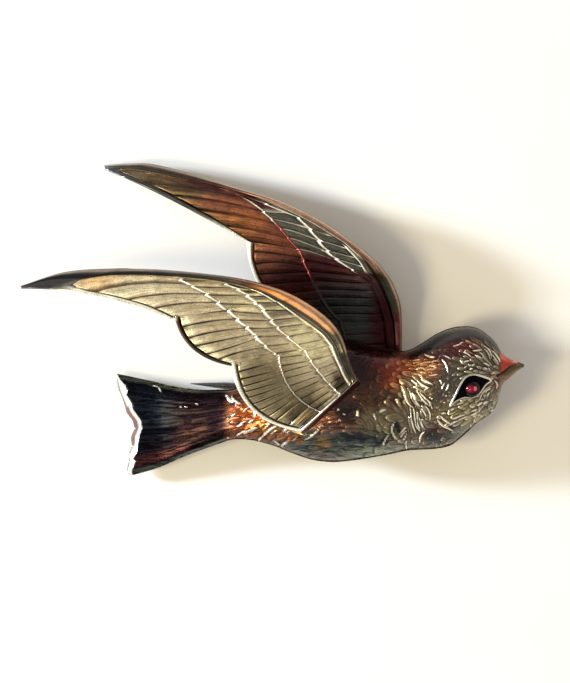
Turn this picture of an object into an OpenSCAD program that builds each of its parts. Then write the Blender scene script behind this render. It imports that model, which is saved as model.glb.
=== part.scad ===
// Flying bird brooch: a hollow-backed cast body with a fan tail, two dished wings, a cabochon eye
// and a bar pin. It lies on its pin with its modelled front up. Millimetres, +X towards the beak,
// +Y towards the raised wings, +Z out of the front.

/* [Body] */
// Length from the rump to the tip of the beak
body_l = 37.8; // [35:0.1:41]
// Height of the body at the belly, seen from the front
body_h = 15.9; // [14:0.1:18]
// Depth of the modelled front, without its rolled edge
body_d = 6.8; // [5.5:0.1:8]
// Depth of the rolled edge behind the outline
edge_d = 0.8; // [0.6:0.05:1.1]
// Metal left between the hollow back and the front
body_wall = 1.3; // [1:0.1:2]
// Height of the flat back above the surface that the brooch lies on
back_z = 3.6; // [3.2:0.1:4.5]

/* [Relief] */
// Length of the rows of body feathers along X
plume_l = 2.5; // [2:0.1:3.5]
// Width of one body feather
plume_w = 2.7; // [2:0.1:3.5]
// Depth of the grooves round the body feathers
plume_d = 0.25; // [0.1:0.05:0.35]
// Depth of the line between the beak's halves
mouth_d = 0.2; // [0.1:0.05:0.3]

/* [Tail] */
// Length of the tail from the rump to its longest feather
tail_l = 14.6; // [12:0.1:18]
// Width of the tail fan at its end
tail_w = 13.3; // [11:0.1:15]
// Thickness of the tail above its rolled edge
tail_t = 0.8; // [0.6:0.05:1.1]
// How far the end of the tail drops below the flat back
tail_drop = 2.7; // [2:0.1:3]
// Depth of the V cut into the end of the tail
tail_cut = 2.3; // [1.5:0.1:3]
// How much shorter the lower corner of the tail is than the upper one
tail_skew = 1.7; // [0.5:0.1:2.5]
// Length of the points at the feather ends
tail_tooth = 0.5; // [0.2:0.05:0.8]
// Run of the sloping end face in the middle of the fan, from its upper to its lower edge
tail_bevel = 1.2; // [0.5:0.05:1.5]
// Depth of the grooves between the tail feathers
tail_groove = 0.3; // [0.1:0.05:0.4]

/* [Near wing] */
// Length of the near wing along X
near_l = 43.7; // [40:0.1:47]
// Height of the near wing along Y
near_w = 21.2; // [19:0.1:23]
// Height of the near wing's rim where it clears the body, above the surface
near_z = 13.2; // [12.9:0.1:15]
// Height of the near wing's tip above the surface
near_tip_z = 8.5; // [6:0.1:11]
// Rise of the arched leading edge above a straight run to the tip
near_arch = 1.6; // [0.5:0.1:2.5]
// How far the foot of the near wing spreads out from its rim onto the body
near_foot = 0.6; // [0.3:0.05:0.9]

/* [Far wing] */
// Length of the far wing along X
far_l = 38.9; // [35:0.1:42]
// Height of the far wing along Y
far_w = 26.1; // [24:0.1:28]
// Rise of the arched leading edge above a straight run to the tip
far_arch = 4.6; // [3:0.1:5.5]

/* [Wing section] */
// Depth of the dish that holds the feather relief
dish_d = 0.55; // [0.4:0.05:0.7]
// Thickness of the metal under the dish
floor_t = 0.65; // [0.5:0.05:0.9]
// Width of the rounded rim along the leading edge
lead_rim = 1.3; // [0.9:0.05:1.6]
// Width of the thin rim along the trailing edge
trail_rim = 0.45; // [0.3:0.05:0.7]
// Height of the step where one row of feathers laps the next
row_step = 0.25; // [0.1:0.05:0.35]
// Depth of the grooves between the wing feathers
feather_groove = 0.15; // [0.05:0.05:0.25]

/* [Eye] */
// Diameter of the cabochon
eye_d = 2.1; // [1.6:0.05:2.4]
// Height of the cabochon's dome above its bevelled base
eye_dome = 0.7; // [0.5:0.05:0.9]
// Height of the cabochon's bevelled base
eye_base = 0.35; // [0.2:0.05:0.5]
// Width of the bevel round the cabochon's base
eye_bevel = 0.3; // [0.1:0.05:0.4]
// Length of the almond-shaped eye socket
socket_l = 6.0; // [5:0.1:6.6]
// Width of the almond-shaped eye socket
socket_w = 3.2; // [2.8:0.1:3.6]
// Depth of the eye socket
socket_d = 0.45; // [0.3:0.05:0.7]

/* [Pin] */
// Length of the pin stem from its hinge to its point
stem_l = 30.8; // [28:0.1:33]
// Diameter of the pin stem
stem_d = 0.9; // [0.7:0.05:1.1]
// Length of the tapered point
stem_point = 4.5; // [2:0.1:5]
// Length of the bar between the hinge's centre and the catch's centre
bar_l = 22.6; // [21:0.1:23.5]
// Width of the bar
bar_w = 2.6; // [2:0.1:3]
// Thickness of the bar
bar_t = 0.7; // [0.5:0.05:0.9]
// Height of the stem's axis above the surface
stem_z = 1.3; // [1.2:0.05:1.4]
// Thickness of the catch's hook and of the hinge's cheeks
hook_t = 0.6; // [0.4:0.05:0.7]
// Width of the catch along the stem
catch_w = 1.9; // [1.5:0.1:2.5]

/* [Fit] */
// Clearance between pieces that seat on each other
seat_gap = 0.1; // [0.05:0.01:0.2]

/* [Hidden] */

// Place of a column in a table, by its name
function column(names, name) = search([name], names)[0];

// Sections of the body from rump to beak tip. at is a share of body_l; top and low are shares of
// body_h above and below the axis; deep and lift are shares of body_d, lift being how far the back
// rises off its flat; hollow is a share of the full hollow; edge is a share of edge_d; power squares
// the section; plume is a share of the feather relief.
SECTION = ["at", "top", "low", "deep", "lift", "hollow", "edge", "power", "plume"];
AT = column(SECTION, "at");
TOP = column(SECTION, "top");
LOW = column(SECTION, "low");
DEEP = column(SECTION, "deep");
LIFT = column(SECTION, "lift");
HOLLOW = column(SECTION, "hollow");
EDGE = column(SECTION, "edge");
POWER = column(SECTION, "power");
PLUME = column(SECTION, "plume");
body_sections = [
    // at,    top,    low,   deep,  lift, hollow, edge, power, plume
    [0.00,  0.090,  0.325, 0.30,  0.00, 0.0, 1.0, 2.8, 0.0],
    [0.06,  0.155,  0.330, 0.40,  0.00, 0.0, 1.0, 2.5, 0.3],
    [0.13,  0.240,  0.370, 0.54,  0.00, 0.1, 1.0, 2.3, 0.6],
    [0.20,  0.330,  0.435, 0.68,  0.00, 0.9, 1.0, 2.2, 0.8],
    [0.27,  0.410,  0.490, 0.80,  0.00, 1.0, 1.0, 2.1, 1.0],
    [0.34,  0.475,  0.510, 0.90,  0.00, 1.0, 1.0, 2.0, 1.0],
    [0.40,  0.495,  0.500, 0.96,  0.00, 1.0, 1.0, 2.0, 1.0],
    [0.47,  0.445,  0.475, 0.96,  0.00, 1.0, 1.0, 2.0, 1.0],
    [0.54,  0.410,  0.445, 0.93,  0.00, 0.9, 1.0, 2.0, 1.0],
    [0.60,  0.405,  0.415, 0.92,  0.00, 0.1, 1.0, 2.0, 1.0],
    [0.65,  0.465,  0.408, 0.95,  0.00, 0.0, 1.0, 2.0, 1.0],
    [0.70,  0.540,  0.400, 0.98,  0.00, 0.0, 1.0, 2.0, 1.0],
    [0.75,  0.588,  0.370, 0.98,  0.01, 0.0, 1.0, 2.0, 0.9],
    [0.80,  0.602,  0.275, 0.92,  0.05, 0.0, 1.0, 2.0, 0.8],
    [0.84,  0.585,  0.185, 0.78,  0.12, 0.0, 1.0, 2.0, 0.7],
    [0.88,  0.520,  0.120, 0.52,  0.24, 0.0, 1.0, 2.0, 0.5],
    [0.905, 0.455,  0.035, 0.36,  0.30, 0.0, 0.9, 2.0, 0.2],
    [0.925, 0.375, -0.120, 0.26,  0.34, 0.0, 0.8, 2.0, 0.0],
    [0.95,  0.335, -0.180, 0.19,  0.37, 0.0, 0.6, 2.0, 0.0],
    [0.98,  0.310, -0.240, 0.11,  0.41, 0.0, 0.4, 2.0, 0.0],
    [1.00,  0.288, -0.270, 0.03,  0.46, 0.0, 0.2, 2.0, 0.0],
];

// Sections of the tail from its end to the rump. at is a share of tail_l from the rump; flare_top
// and flare_low are how far each edge has gone from the rump's edge to the fan's corner; thick is a
// share of tail_t and drop of tail_drop; edge and power are as in the body's table.
FAN = ["at", "flare_top", "flare_low", "thick", "drop", "edge", "power"];
FLARE_TOP = column(FAN, "flare_top");
FLARE_LOW = column(FAN, "flare_low");
THICK = column(FAN, "thick");
DROP = column(FAN, "drop");
FAN_EDGE = column(FAN, "edge");
FAN_POWER = column(FAN, "power");
tail_sections = [
    // at,  flare_top, flare_low, thick, drop, edge, power
    [1.00,  1.00, 1.00, 0.8, 1.00, 0.8, 6],
    [0.72,  0.53, 0.78, 1.0, 0.84, 0.8, 6],
    [0.50,  0.13, 0.53, 1.2, 0.62, 0.9, 5],
    [0.28, -0.07, 0.29, 1.6, 0.33, 0.9, 4],
    [0.11, -0.05, 0.10, 2.2, 0.12, 1.0, 3.2],
];
// Heights of the fan's two corners above and below the body's axis, as shares of tail_w
corner_top = 0.255;
corner_low = 0.745;
tail_feathers = 6.5;

// Leading edge of a wing from root to tip, with what the wing does there. s is the place along the
// wing; point is the edge's point as shares of the wing's length and height; fall is how much of
// the drop from root to tip is done; arch_lead and arch_trail are shares of the arch at each edge;
// dish is the share of the full dish; row_b and row_a are where the two rows of coverts end, as
// shares of the dish's width from the leading rim.
WING = ["s", "point", "fall", "arch_lead", "arch_trail", "dish", "row_b", "row_a"];
POINT = column(WING, "point");
FALL = column(WING, "fall");
ARCH_LEAD = column(WING, "arch_lead");
ARCH_TRAIL = column(WING, "arch_trail");
DISH = column(WING, "dish");
ROW_B = column(WING, "row_b");
ROW_A = column(WING, "row_a");
near_edge = [
    [0.00, [0.000, 0.322], 0.00, 0.00,  0.00, 1.0, 0.28, 0.65],
    [0.10, [0.009, 0.365], 0.00, 0.10,  0.00, 1.0, 0.26, 0.62],
    [0.20, [0.021, 0.420], 0.00, 0.25,  0.00, 1.0, 0.28, 0.57],
    [0.36, [0.039, 0.543], 0.03, 0.50,  0.00, 1.0, 0.38, 0.66],
    [0.44, [0.057, 0.617], 0.05, 0.65,  0.00, 1.0, 0.36, 0.63],
    [0.52, [0.098, 0.709], 0.09, 0.80,  0.00, 1.0, 0.33, 0.61],
    [0.62, [0.170, 0.810], 0.15, 0.95,  0.00, 1.0, 0.28, 0.57],
    [0.70, [0.244, 0.880], 0.22, 1.00,  0.05, 1.0, 0.20, 0.50],
    [0.78, [0.348, 0.936], 0.32, 1.00,  0.10, 1.0, 0.12, 0.38],
    [0.85, [0.467, 0.969], 0.45, 0.90,  0.20, 1.0, 0.06, 0.26],
    [0.90, [0.586, 0.991], 0.58, 0.70,  0.30, 0.9, 0.04, 0.13],
    [0.94, [0.735, 1.000], 0.72, 0.40,  0.25, 0.4, 0.03, 0.07],
    [0.97, [0.869, 0.977], 0.86, 0.20,  0.15, 0.1, 0.02, 0.05],
    [1.00, [1.000, 0.893], 1.00, 0.00,  0.00, 0.0, 0.02, 0.05],
];
far_edge = [
    [0.00, [0.000, 0.010], 0.00, 0.00,  0.00, 1.0, 0.50, 0.80],
    [0.12, [0.000, 0.100], 0.00, 0.06,  0.02, 1.0, 0.46, 0.76],
    [0.25, [0.000, 0.208], 0.02, 0.22,  0.06, 1.0, 0.42, 0.72],
    [0.38, [0.007, 0.308], 0.05, 0.45,  0.12, 1.0, 0.40, 0.69],
    [0.50, [0.033, 0.407], 0.10, 0.68,  0.22, 1.0, 0.38, 0.66],
    [0.60, [0.074, 0.491], 0.16, 0.84,  0.32, 1.0, 0.35, 0.62],
    [0.70, [0.157, 0.596], 0.25, 0.96,  0.42, 1.0, 0.27, 0.51],
    [0.78, [0.274, 0.715], 0.36, 1.00,  0.50, 1.0, 0.17, 0.38],
    [0.85, [0.408, 0.811], 0.49, 0.95,  0.52, 1.0, 0.08, 0.24],
    [0.90, [0.542, 0.873], 0.62, 0.80,  0.48, 0.9, 0.05, 0.13],
    [0.94, [0.692, 0.945], 0.75, 0.58,  0.38, 0.5, 0.03, 0.07],
    [0.97, [0.843, 1.000], 0.88, 0.32,  0.22, 0.2, 0.02, 0.05],
    [1.00, [1.000, 0.993], 1.00, 0.00,  0.00, 0.0, 0.02, 0.05],
];

// Lobes of a trailing edge from root to tip: where each starts and ends along the wing, its number
// of feathers, and the start, pull and end of its curve as shares of the wing's length and height.
LOBE = ["from", "to", "feathers", "start", "pull", "finish"];
FROM = column(LOBE, "from");
TO = column(LOBE, "to");
FEATHERS = column(LOBE, "feathers");
START = column(LOBE, "start");
PULL = column(LOBE, "pull");
FINISH = column(LOBE, "finish");
near_lobes = [
    [0.030, 0.360, 10, [0.170, 0.000], [0.333, 0.071], [0.372, 0.426]],
    [0.364, 0.620,  6, [0.375, 0.402], [0.518, 0.457], [0.542, 0.709]],
    [0.624, 0.900,  5, [0.554, 0.690], [0.780, 0.877], [0.998, 0.874]],
];
far_lobes = [
    [0.030, 0.250,  6, [0.191, 0.000], [0.301, 0.060], [0.341, 0.228]],
    [0.254, 0.600,  8, [0.344, 0.218], [0.508, 0.318], [0.522, 0.610]],
    [0.604, 0.900,  6, [0.532, 0.615], [0.776, 0.834], [0.993, 0.968]],
];

// Places on the body, as shares of body_l along it and of body_h above its axis
near_root_at = 0.426;
near_root_up = -0.258;
far_root_at = 0.581;
far_root_up = 0.295;
eye_at = 0.818;
eye_up = 0.090;
pin_at = 0.665;
pin_up = 0.016;
socket_turn = 36;
pin_turn = -3.4;

// How finely the facetted forms are cut
tail_steps = 9;
trunk_steps = 22;
head_from = 0.70;
head_steps = 26;
body_columns = 32;
// Part of the body that is beak, along its length, and the column that its mouth line follows
beak_from = 0.92;
mouth_column = 14;
// Part of the section that is plain crown, from its upper edge, and how fast the relief ends there
crown_c = 0.72;
crown_fade = 0.25;
// Places across one wing feather, starting in its groove
vane_places = [0, 0.22, 0.6];
// Widths of the notch that parts two rows, and of the dish's side, in mm
notch_w = 0.12;
side_w = 0.15;
// Part of the near wing that follows the body's flank, along S
seat_s = 0.30;
// Part of the near wing whose foot spreads onto the body, along S
foot_s = 0.06;
// Room for the facets between the grid points of a seat, in mm
facet_sag = 0.07;
// How much of the hinge's and the catch's round is cut flat where they stand
foot_cut = 0.05;
// Diameter of the stem's very point
point_d = 0.1;

// Centre of the whole outline, so that the brooch stands over the origin
far_top_y = far_root_up * body_h + far_w;
centre_x = (near_root_at * body_l - near_l + body_l) / 2;
centre_y = (far_top_y - corner_low * tail_w) / 2;
wing_t = dish_d + floor_t;
hook_out = stem_z + foot_cut;
bar_top = back_z - seat_gap;

// Smooth reading of column c of a table whose column 0 rises, at x
function row_of(t, x, i = 0) = i >= len(t) - 2 || x < t[i + 1][0] ? i : row_of(t, x, i + 1);
function slope(t, c, i) =
    let (a = max(i - 1, 0), b = min(i + 1, len(t) - 1))
    (t[b][c] - t[a][c]) / (t[b][0] - t[a][0]);
function read(t, c, x) =
    let (i = row_of(t, x), w = t[i + 1][0] - t[i][0], f = (x - t[i][0]) / w)
    t[i][c] * (2 * f * f * f - 3 * f * f + 1) + t[i + 1][c] * (3 * f * f - 2 * f * f * f)
    + slope(t, c, i) * w * (f * f * f - 2 * f * f + f)
    + slope(t, c, i + 1) * w * (f * f * f - f * f);

function mix(a, b, f) = a * (1 - f) + b * f;
function smooth(f) = let (g = min(max(f, 0), 1)) g * g * (3 - 2 * g);

// The tail's and body's sections as one table with the body's columns, in millimetres from the rump
rump = body_sections[0];
outline = concat(
    [for (r = tail_sections) [
        -tail_l * r[AT],
        mix(rump[TOP] * body_h, corner_top * tail_w, r[FLARE_TOP]),
        -mix(rump[LOW] * body_h, corner_low * tail_w, r[FLARE_LOW]),
        tail_t * r[THICK],
        back_z - tail_drop * r[DROP],
        0,
        edge_d * r[FAN_EDGE],
        r[FAN_POWER],
        0,
    ]],
    [for (r = body_sections) [
        body_l * r[AT],
        body_h * r[TOP],
        -body_h * r[LOW],
        body_d * r[DEEP],
        back_z + body_d * r[LIFT],
        (body_d * r[DEEP] + edge_d - body_wall) * r[HOLLOW],
        edge_d * r[EDGE],
        r[POWER],
        r[PLUME],
    ]]
);

// Rounded section: 1 on the axis, 0 at the edges, where c runs from -1 to 1 across it
function dome(c, power) = sqrt(max(0, 1 - pow(abs(c), power)));
function across(x, y) =
    let (top = read(outline, TOP, x), low = read(outline, LOW, x))
    (2 * y - top - low) / (top - low);
function front_z(x, y) =
    let (c = min(max(across(x, y), -0.99), 0.99))
    read(outline, LIFT, x) + read(outline, EDGE, x) + read(outline, DEEP, x) * dome(c, read(outline, POWER, x));

// The almond of the eye socket: over 0 inside it
eye_pos = [eye_at * body_l, eye_up * body_h];
function almond(x, y) =
    let (
        dx = x - eye_pos[0],
        dy = y - eye_pos[1],
        along = (dx * cos(socket_turn) + dy * sin(socket_turn)) / (socket_l / 2),
        side = (dy * cos(socket_turn) - dx * sin(socket_turn)) / (socket_w / 2)
    )
    1 - along * along - abs(side);
socket_z = front_z(eye_pos[0], eye_pos[1]) - socket_d;

// Depth of the relief at x, y: grooves round rows of lapped feathers, none on the crown or eye
function plume_cut(x, y) =
    plume_d * read(outline, PLUME, x)
    * smooth((crown_c - across(x, y)) / crown_fade)
    * smooth(1 - almond(x, y))
    * (0.5 - 0.5 * cos(360 * (x / plume_l + 0.5 * abs(sin(180 * y / plume_w)))));
function mouth_cut(x, column) =
    column == mouth_column ? mouth_d * smooth((x / body_l - beak_from) / (1 - beak_from) * 3) : 0;

// Points of the tail's end run back from its longest corner by the V cut, the skew and the teeth
function end_run(c) =
    tail_cut * (1 - abs(c)) + tail_skew * (1 - c) / 2
    - tail_tooth * abs(sin(180 * tail_feathers * (c + 1) / 2));

// One point of the body's front or back. c is the place across the section, from -1 to 1.
function body_point(x, c, column, is_back) =
    let (
        top = read(outline, TOP, x),
        low = read(outline, LOW, x),
        y = mix(low, top, (c + 1) / 2),
        edge = read(outline, EDGE, x),
        fade = max(0, -x / tail_l * 1.6 - 0.6),
        px = x + fade * (end_run(c) - (is_back ? tail_bevel * dome(c, 2) : 0)),
        groove = tail_groove * (column % 4 == 0 ? 1 : 0) * smooth(-x / tail_l * 3) * (1 - pow(abs(c), 8)),
        back = read(outline, LIFT, x) + edge * (1 - dome(c, 4)) * 0.9
            + read(outline, HOLLOW, x) * max(0, 1 - pow(abs(c) / 0.78, 4)),
        front = front_z(x, y) - groove - plume_cut(x, y) - mouth_cut(x, column),
        z = is_back ? back : mix(front, min(front, socket_z), smooth(almond(x, y) * 5))
    )
    [px, y, z];

// A closed solid between two grids of points with the same edges
module shell(front, back) {
    rows = len(front);
    cols = len(front[0]);
    half = rows * cols;
    function at(i, j) = i * cols + j;
    function quad(a, b, c, d) = [[a, b, c], [a, c, d]];
    faces = concat(
        [for (i = [0:rows - 2], j = [0:cols - 2], t = [0, 1])
            quad(at(i, j), at(i, j + 1), at(i + 1, j + 1), at(i + 1, j))[t]],
        [for (i = [0:rows - 2], j = [0:cols - 2], t = [0, 1])
            quad(half + at(i, j), half + at(i + 1, j), half + at(i + 1, j + 1), half + at(i, j + 1))[t]],
        [for (i = [0:rows - 2], t = [0, 1])
            quad(at(i, 0), at(i + 1, 0), half + at(i + 1, 0), half + at(i, 0))[t]],
        [for (i = [0:rows - 2], t = [0, 1])
            quad(at(i + 1, cols - 1), at(i, cols - 1), half + at(i, cols - 1), half + at(i + 1, cols - 1))[t]],
        [for (j = [0:cols - 2], t = [0, 1])
            quad(at(0, j + 1), at(0, j), half + at(0, j), half + at(0, j + 1))[t]],
        [for (j = [0:cols - 2], t = [0, 1])
            quad(at(rows - 1, j), at(rows - 1, j + 1), half + at(rows - 1, j + 1), half + at(rows - 1, j))[t]]
    );
    flat_list = concat([for (r = front) for (p = r) p], [for (r = back) for (p = r) p]);
    polyhedron(points = flat_list, faces = faces, convexity = 8);
}

// Moves a piece modelled from the rump and axis so that the whole stands over the origin
module placed() {
    translate([-centre_x, -centre_y, 0]) children();
}

// Cast body: head, breast, rump and fan tail in one hollow-backed shell
module body() {
    stations = concat(
        [for (i = [0:tail_steps - 1]) -tail_l * (1 - i / tail_steps)],
        [for (i = [0:trunk_steps - 1]) body_l * head_from * i / trunk_steps],
        [for (i = [0:head_steps]) body_l * mix(head_from, 1, i / head_steps)]
    );
    places = [for (j = [0:body_columns]) -cos(180 * j / body_columns)];
    color("saddlebrown") placed() shell(
        [for (x = stations) [for (j = [0:body_columns]) body_point(x, places[j], j, false)]],
        [for (x = stations) [for (j = [0:body_columns]) body_point(x, places[j], j, true)]]
    );
}

// Ribs of a wing from root to tip: place along S, lobe of the trailing edge, and whether the rib
// lies in a groove between feathers
function wing_ribs(lobes) = concat(
    [[0, 0, false], [0.015, 0, false]],
    [for (k = [0:2], i = [0:lobes[k][FEATHERS] - 1], v = vane_places)
        [mix(lobes[k][FROM], lobes[k][TO], (i + v) / lobes[k][FEATHERS]), k, v == 0]],
    [for (k = [0, 1]) [lobes[k][TO], k, true]],
    [for (s = [lobes[2][TO], 0.925, 0.95, 0.975, 1]) [s, 2, false]]
);
function sorted_ribs(ribs, k) = [for (r = ribs) if (r[1] == k) r];
// The rib that closes a lobe comes after that lobe's feathers
function ordered(ribs) = concat(sorted_ribs(ribs, 0), sorted_ribs(ribs, 1), sorted_ribs(ribs, 2));

// Point of the trailing edge at s, on lobe k, in shares
function trail_pt(lobes, k, s) =
    let (
        l = lobes[k],
        last = k == 2 ? 1 : l[TO],
        first = k == 0 ? 0 : l[FROM],
        f = (s - first) / (last - first)
    )
    l[START] * (1 - f) * (1 - f) + l[PULL] * 2 * f * (1 - f) + l[FINISH] * f * f;

// Stations across a rib: share of the chord, height below the rim's top, and the underside's
// height. lead and trail are the rims' widths, and b and a the ends of the covert rows, as shares.
function cross_stations(lead, trail, b, a, chord, dish, groove) =
    let (
        low = -dish_d * dish,
        crest = low + row_step * dish,
        cut = feather_groove * dish * (groove ? 1 : 0),
        n = min(notch_w / chord, 0.02),
        w = min(side_w / chord, 0.03),
        in = 1 - trail
    )
    [
        [0, -0.55 * wing_t, -0.85 * wing_t],
        [lead * 0.22, -0.16 * wing_t, -wing_t],
        [lead * 0.58, 0, -wing_t],
        [lead - w, -0.10 * wing_t * dish, -wing_t],
        [lead, low - cut, -wing_t],
        [b - n, crest - cut, -wing_t],
        [b, low - cut, -wing_t],
        [a - n, crest - cut, -wing_t],
        [a, low - cut, -wing_t],
        [in - w, mix(low, crest, 0.6) - cut, -wing_t],
        [in, -0.05 * wing_t, -wing_t],
        [mix(in, 1, 0.5), 0, -wing_t],
        [1, -0.12 * wing_t, -0.95 * wing_t],
    ];

// The two grids of a wing. root is where shares 0, 0 lie, size its length and height, heights its
// rim at the root, at the tip and the arch's rise; seated makes its root follow the body's flank.
function wing_grids(edge, lobes, root, size, heights, seated) =
    [for (side = [1, 2]) [for (rib = ordered(wing_ribs(lobes)))
        let (
            s = rib[0],
            lead_uv = read(edge, POINT, s),
            trail_uv = trail_pt(lobes, rib[1], s),
            lead_xy = [root[0] - lead_uv[0] * size[0], root[1] + lead_uv[1] * size[1]],
            trail_xy = [root[0] - trail_uv[0] * size[0], root[1] + trail_uv[1] * size[1]],
            chord = norm(lead_xy - trail_xy),
            fall = mix(heights[0], heights[1], read(edge, FALL, s)),
            lead_share = min(lead_rim / chord, 0.5),
            trail_share = min(trail_rim / chord, 0.2),
            dish_w = 1 - lead_share - trail_share,
            out = [lead_xy[1] - trail_xy[1], trail_xy[0] - lead_xy[0]] / chord,
            foot = seated && side == 2 ? near_foot * (1 - smooth(s / foot_s)) : 0,
            dish = read(edge, DISH, s) * smooth((s - 0.012) / 0.02)
        )
        [for (p = cross_stations(
                lead_share, trail_share,
                lead_share + dish_w * read(edge, ROW_B, s),
                lead_share + dish_w * read(edge, ROW_A, s),
                chord, dish, rib[2]))
            let (
                xy = mix(lead_xy, trail_xy, p[0]) + foot * out,
                free = fall + heights[2] * mix(read(edge, ARCH_LEAD, s), read(edge, ARCH_TRAIL, s), p[0]),
                seat = front_z(xy[0], xy[1]) + seat_gap + facet_sag + wing_t,
                rim = seated ? mix(seat, max(free, seat), smooth(s / seat_s)) : free
            )
            [xy[0], xy[1], rim + p[side]]
        ]
    ]];

// Near wing: a dished tray with feather relief, seated on the body's flank
module near_wing() {
    grids = wing_grids(near_edge, near_lobes, [near_root_at * body_l, near_root_up * body_h],
        [near_l, near_w], [near_z, near_tip_z, near_arch], true);
    color("tan") placed() shell(grids[0], grids[1]);
}

// Far wing: the same kind of tray, seated behind the body's back with its tip on the surface
module far_wing() {
    grids = wing_grids(far_edge, far_lobes, [far_root_at * body_l, far_root_up * body_h],
        [far_l, far_w], [back_z - seat_gap, wing_t, far_arch], false);
    color("maroon") placed() shell(grids[0], grids[1]);
}

// Cabochon eye, standing in the socket's flat floor
module eye() {
    dome_r = (eye_d * eye_d / 4 + eye_dome * eye_dome) / (2 * eye_dome);
    color("crimson") placed() translate([eye_pos[0], eye_pos[1], socket_z + seat_gap])
        intersection() {
            union() {
                cylinder(d1 = eye_d - 2 * eye_bevel, d2 = eye_d, h = eye_base, $fn = 48);
                translate([0, 0, eye_base]) cylinder(d = eye_d, h = eye_dome, $fn = 48);
            }
            translate([0, 0, eye_base + eye_dome - dome_r]) sphere(r = dome_r, $fn = 96);
        }
}

// Bar pin in one plain piece: bar, hinge block, stem and hook catch
module pin() {
    foot_z = stem_z - hook_out;
    color("silver") placed()
        translate([pin_at * body_l, pin_up * body_h, 0]) rotate([0, 0, 180 + pin_turn]) {
            // Bar that seats on the flat of the back
            translate([-bar_w / 2, -bar_w / 2, bar_top - bar_t])
                cube([bar_l + bar_w / 2 + catch_w / 2, bar_w, bar_t]);
            // Hinge block with a rounded knuckle
            intersection() {
                translate([-stem_z, -bar_w / 2, 0]) cube([2 * stem_z, bar_w, bar_top - bar_t / 2]);
                union() {
                    translate([0, 0, stem_z]) rotate([90, 0, 0])
                        cylinder(r = hook_out, h = bar_w, center = true, $fn = 64);
                    translate([-hook_out * 0.7, -bar_w / 2, stem_z]) cube([hook_out * 1.4, bar_w, bar_top]);
                }
            }
            // Stem and its point
            translate([0, 0, stem_z]) rotate([0, 90, 0]) {
                cylinder(d = stem_d, h = stem_l - stem_point, $fn = 48);
                translate([0, 0, stem_l - stem_point])
                    cylinder(d1 = stem_d, d2 = point_d, h = stem_point, $fn = 48);
            }
            // Hook catch, open on one side
            translate([bar_l - catch_w / 2, 0, 0]) difference() {
                union() {
                    intersection() {
                        translate([0, 0, stem_z]) rotate([0, 90, 0])
                            cylinder(r = hook_out, h = catch_w, $fn = 64);
                        translate([0, -hook_out, 0]) cube([catch_w, 2 * hook_out, 2 * hook_out]);
                    }
                    translate([0, -hook_out, stem_z]) cube([catch_w, hook_t, bar_top - bar_t / 2 - stem_z]);
                }
                translate([-1, 0, stem_z]) rotate([0, 90, 0])
                    cylinder(r = hook_out - hook_t, h = catch_w + 2, $fn = 64);
                translate([-1, 0, stem_z]) cube([catch_w + 2, 2 * hook_out, 2 * hook_out]);
            }
        }
}

body();
near_wing();
far_wing();
eye();
pin();
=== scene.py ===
"""Looks of the flying bird brooch: feather relief, enamels and polished edges built on its CAD frame.

Tables are in design millimetres, measured from the rump and the body's axis: +X to the beak, +Y to
the raised wings, +Z out of the front. UNIT turns them into the frame's metres.
"""
import math

import bpy
import numpy as np
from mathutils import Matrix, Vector


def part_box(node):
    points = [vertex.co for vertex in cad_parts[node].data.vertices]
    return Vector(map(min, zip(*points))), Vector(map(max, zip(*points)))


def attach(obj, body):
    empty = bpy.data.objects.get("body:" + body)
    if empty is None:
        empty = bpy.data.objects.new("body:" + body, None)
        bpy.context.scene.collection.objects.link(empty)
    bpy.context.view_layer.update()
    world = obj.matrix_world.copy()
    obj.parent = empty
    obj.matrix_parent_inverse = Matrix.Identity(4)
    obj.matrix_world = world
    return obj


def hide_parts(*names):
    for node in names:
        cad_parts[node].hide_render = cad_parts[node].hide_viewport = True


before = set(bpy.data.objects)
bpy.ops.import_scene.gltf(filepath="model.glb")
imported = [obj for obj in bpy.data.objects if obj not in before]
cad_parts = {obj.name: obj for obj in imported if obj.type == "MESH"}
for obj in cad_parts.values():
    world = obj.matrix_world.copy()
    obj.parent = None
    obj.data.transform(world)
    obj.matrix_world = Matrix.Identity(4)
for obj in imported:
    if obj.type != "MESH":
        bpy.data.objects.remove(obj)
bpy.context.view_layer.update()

# Size and place of the design in the frame
SPAN = 53.066
BODY_L = 37.8
BODY_H = 15.9
TAIL_LOW = 9.909
BODY_LOW, BODY_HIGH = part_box("body")
UNIT = (BODY_HIGH.x - BODY_LOW.x) / SPAN
ORIGIN = np.array([BODY_HIGH.x - BODY_L * UNIT, BODY_LOW.y + TAIL_LOW * UNIT, 0.0])

# Main sizes of the casting, in millimetres
BODY_D = 6.8
EDGE_D = 0.8
BODY_WALL = 1.3
BACK_Z = 3.6
TAIL_L = 14.6
TAIL_W = 13.3
TAIL_T = 0.8
TAIL_DROP = 2.7
TAIL_FEATHERS = 6.5
CORNER_TOP = 0.255
CORNER_LOW = 0.745
DISH_D = 0.55
WING_T = 1.2
SEAT_GAP = 0.1
FACET_SAG = 0.07

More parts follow.
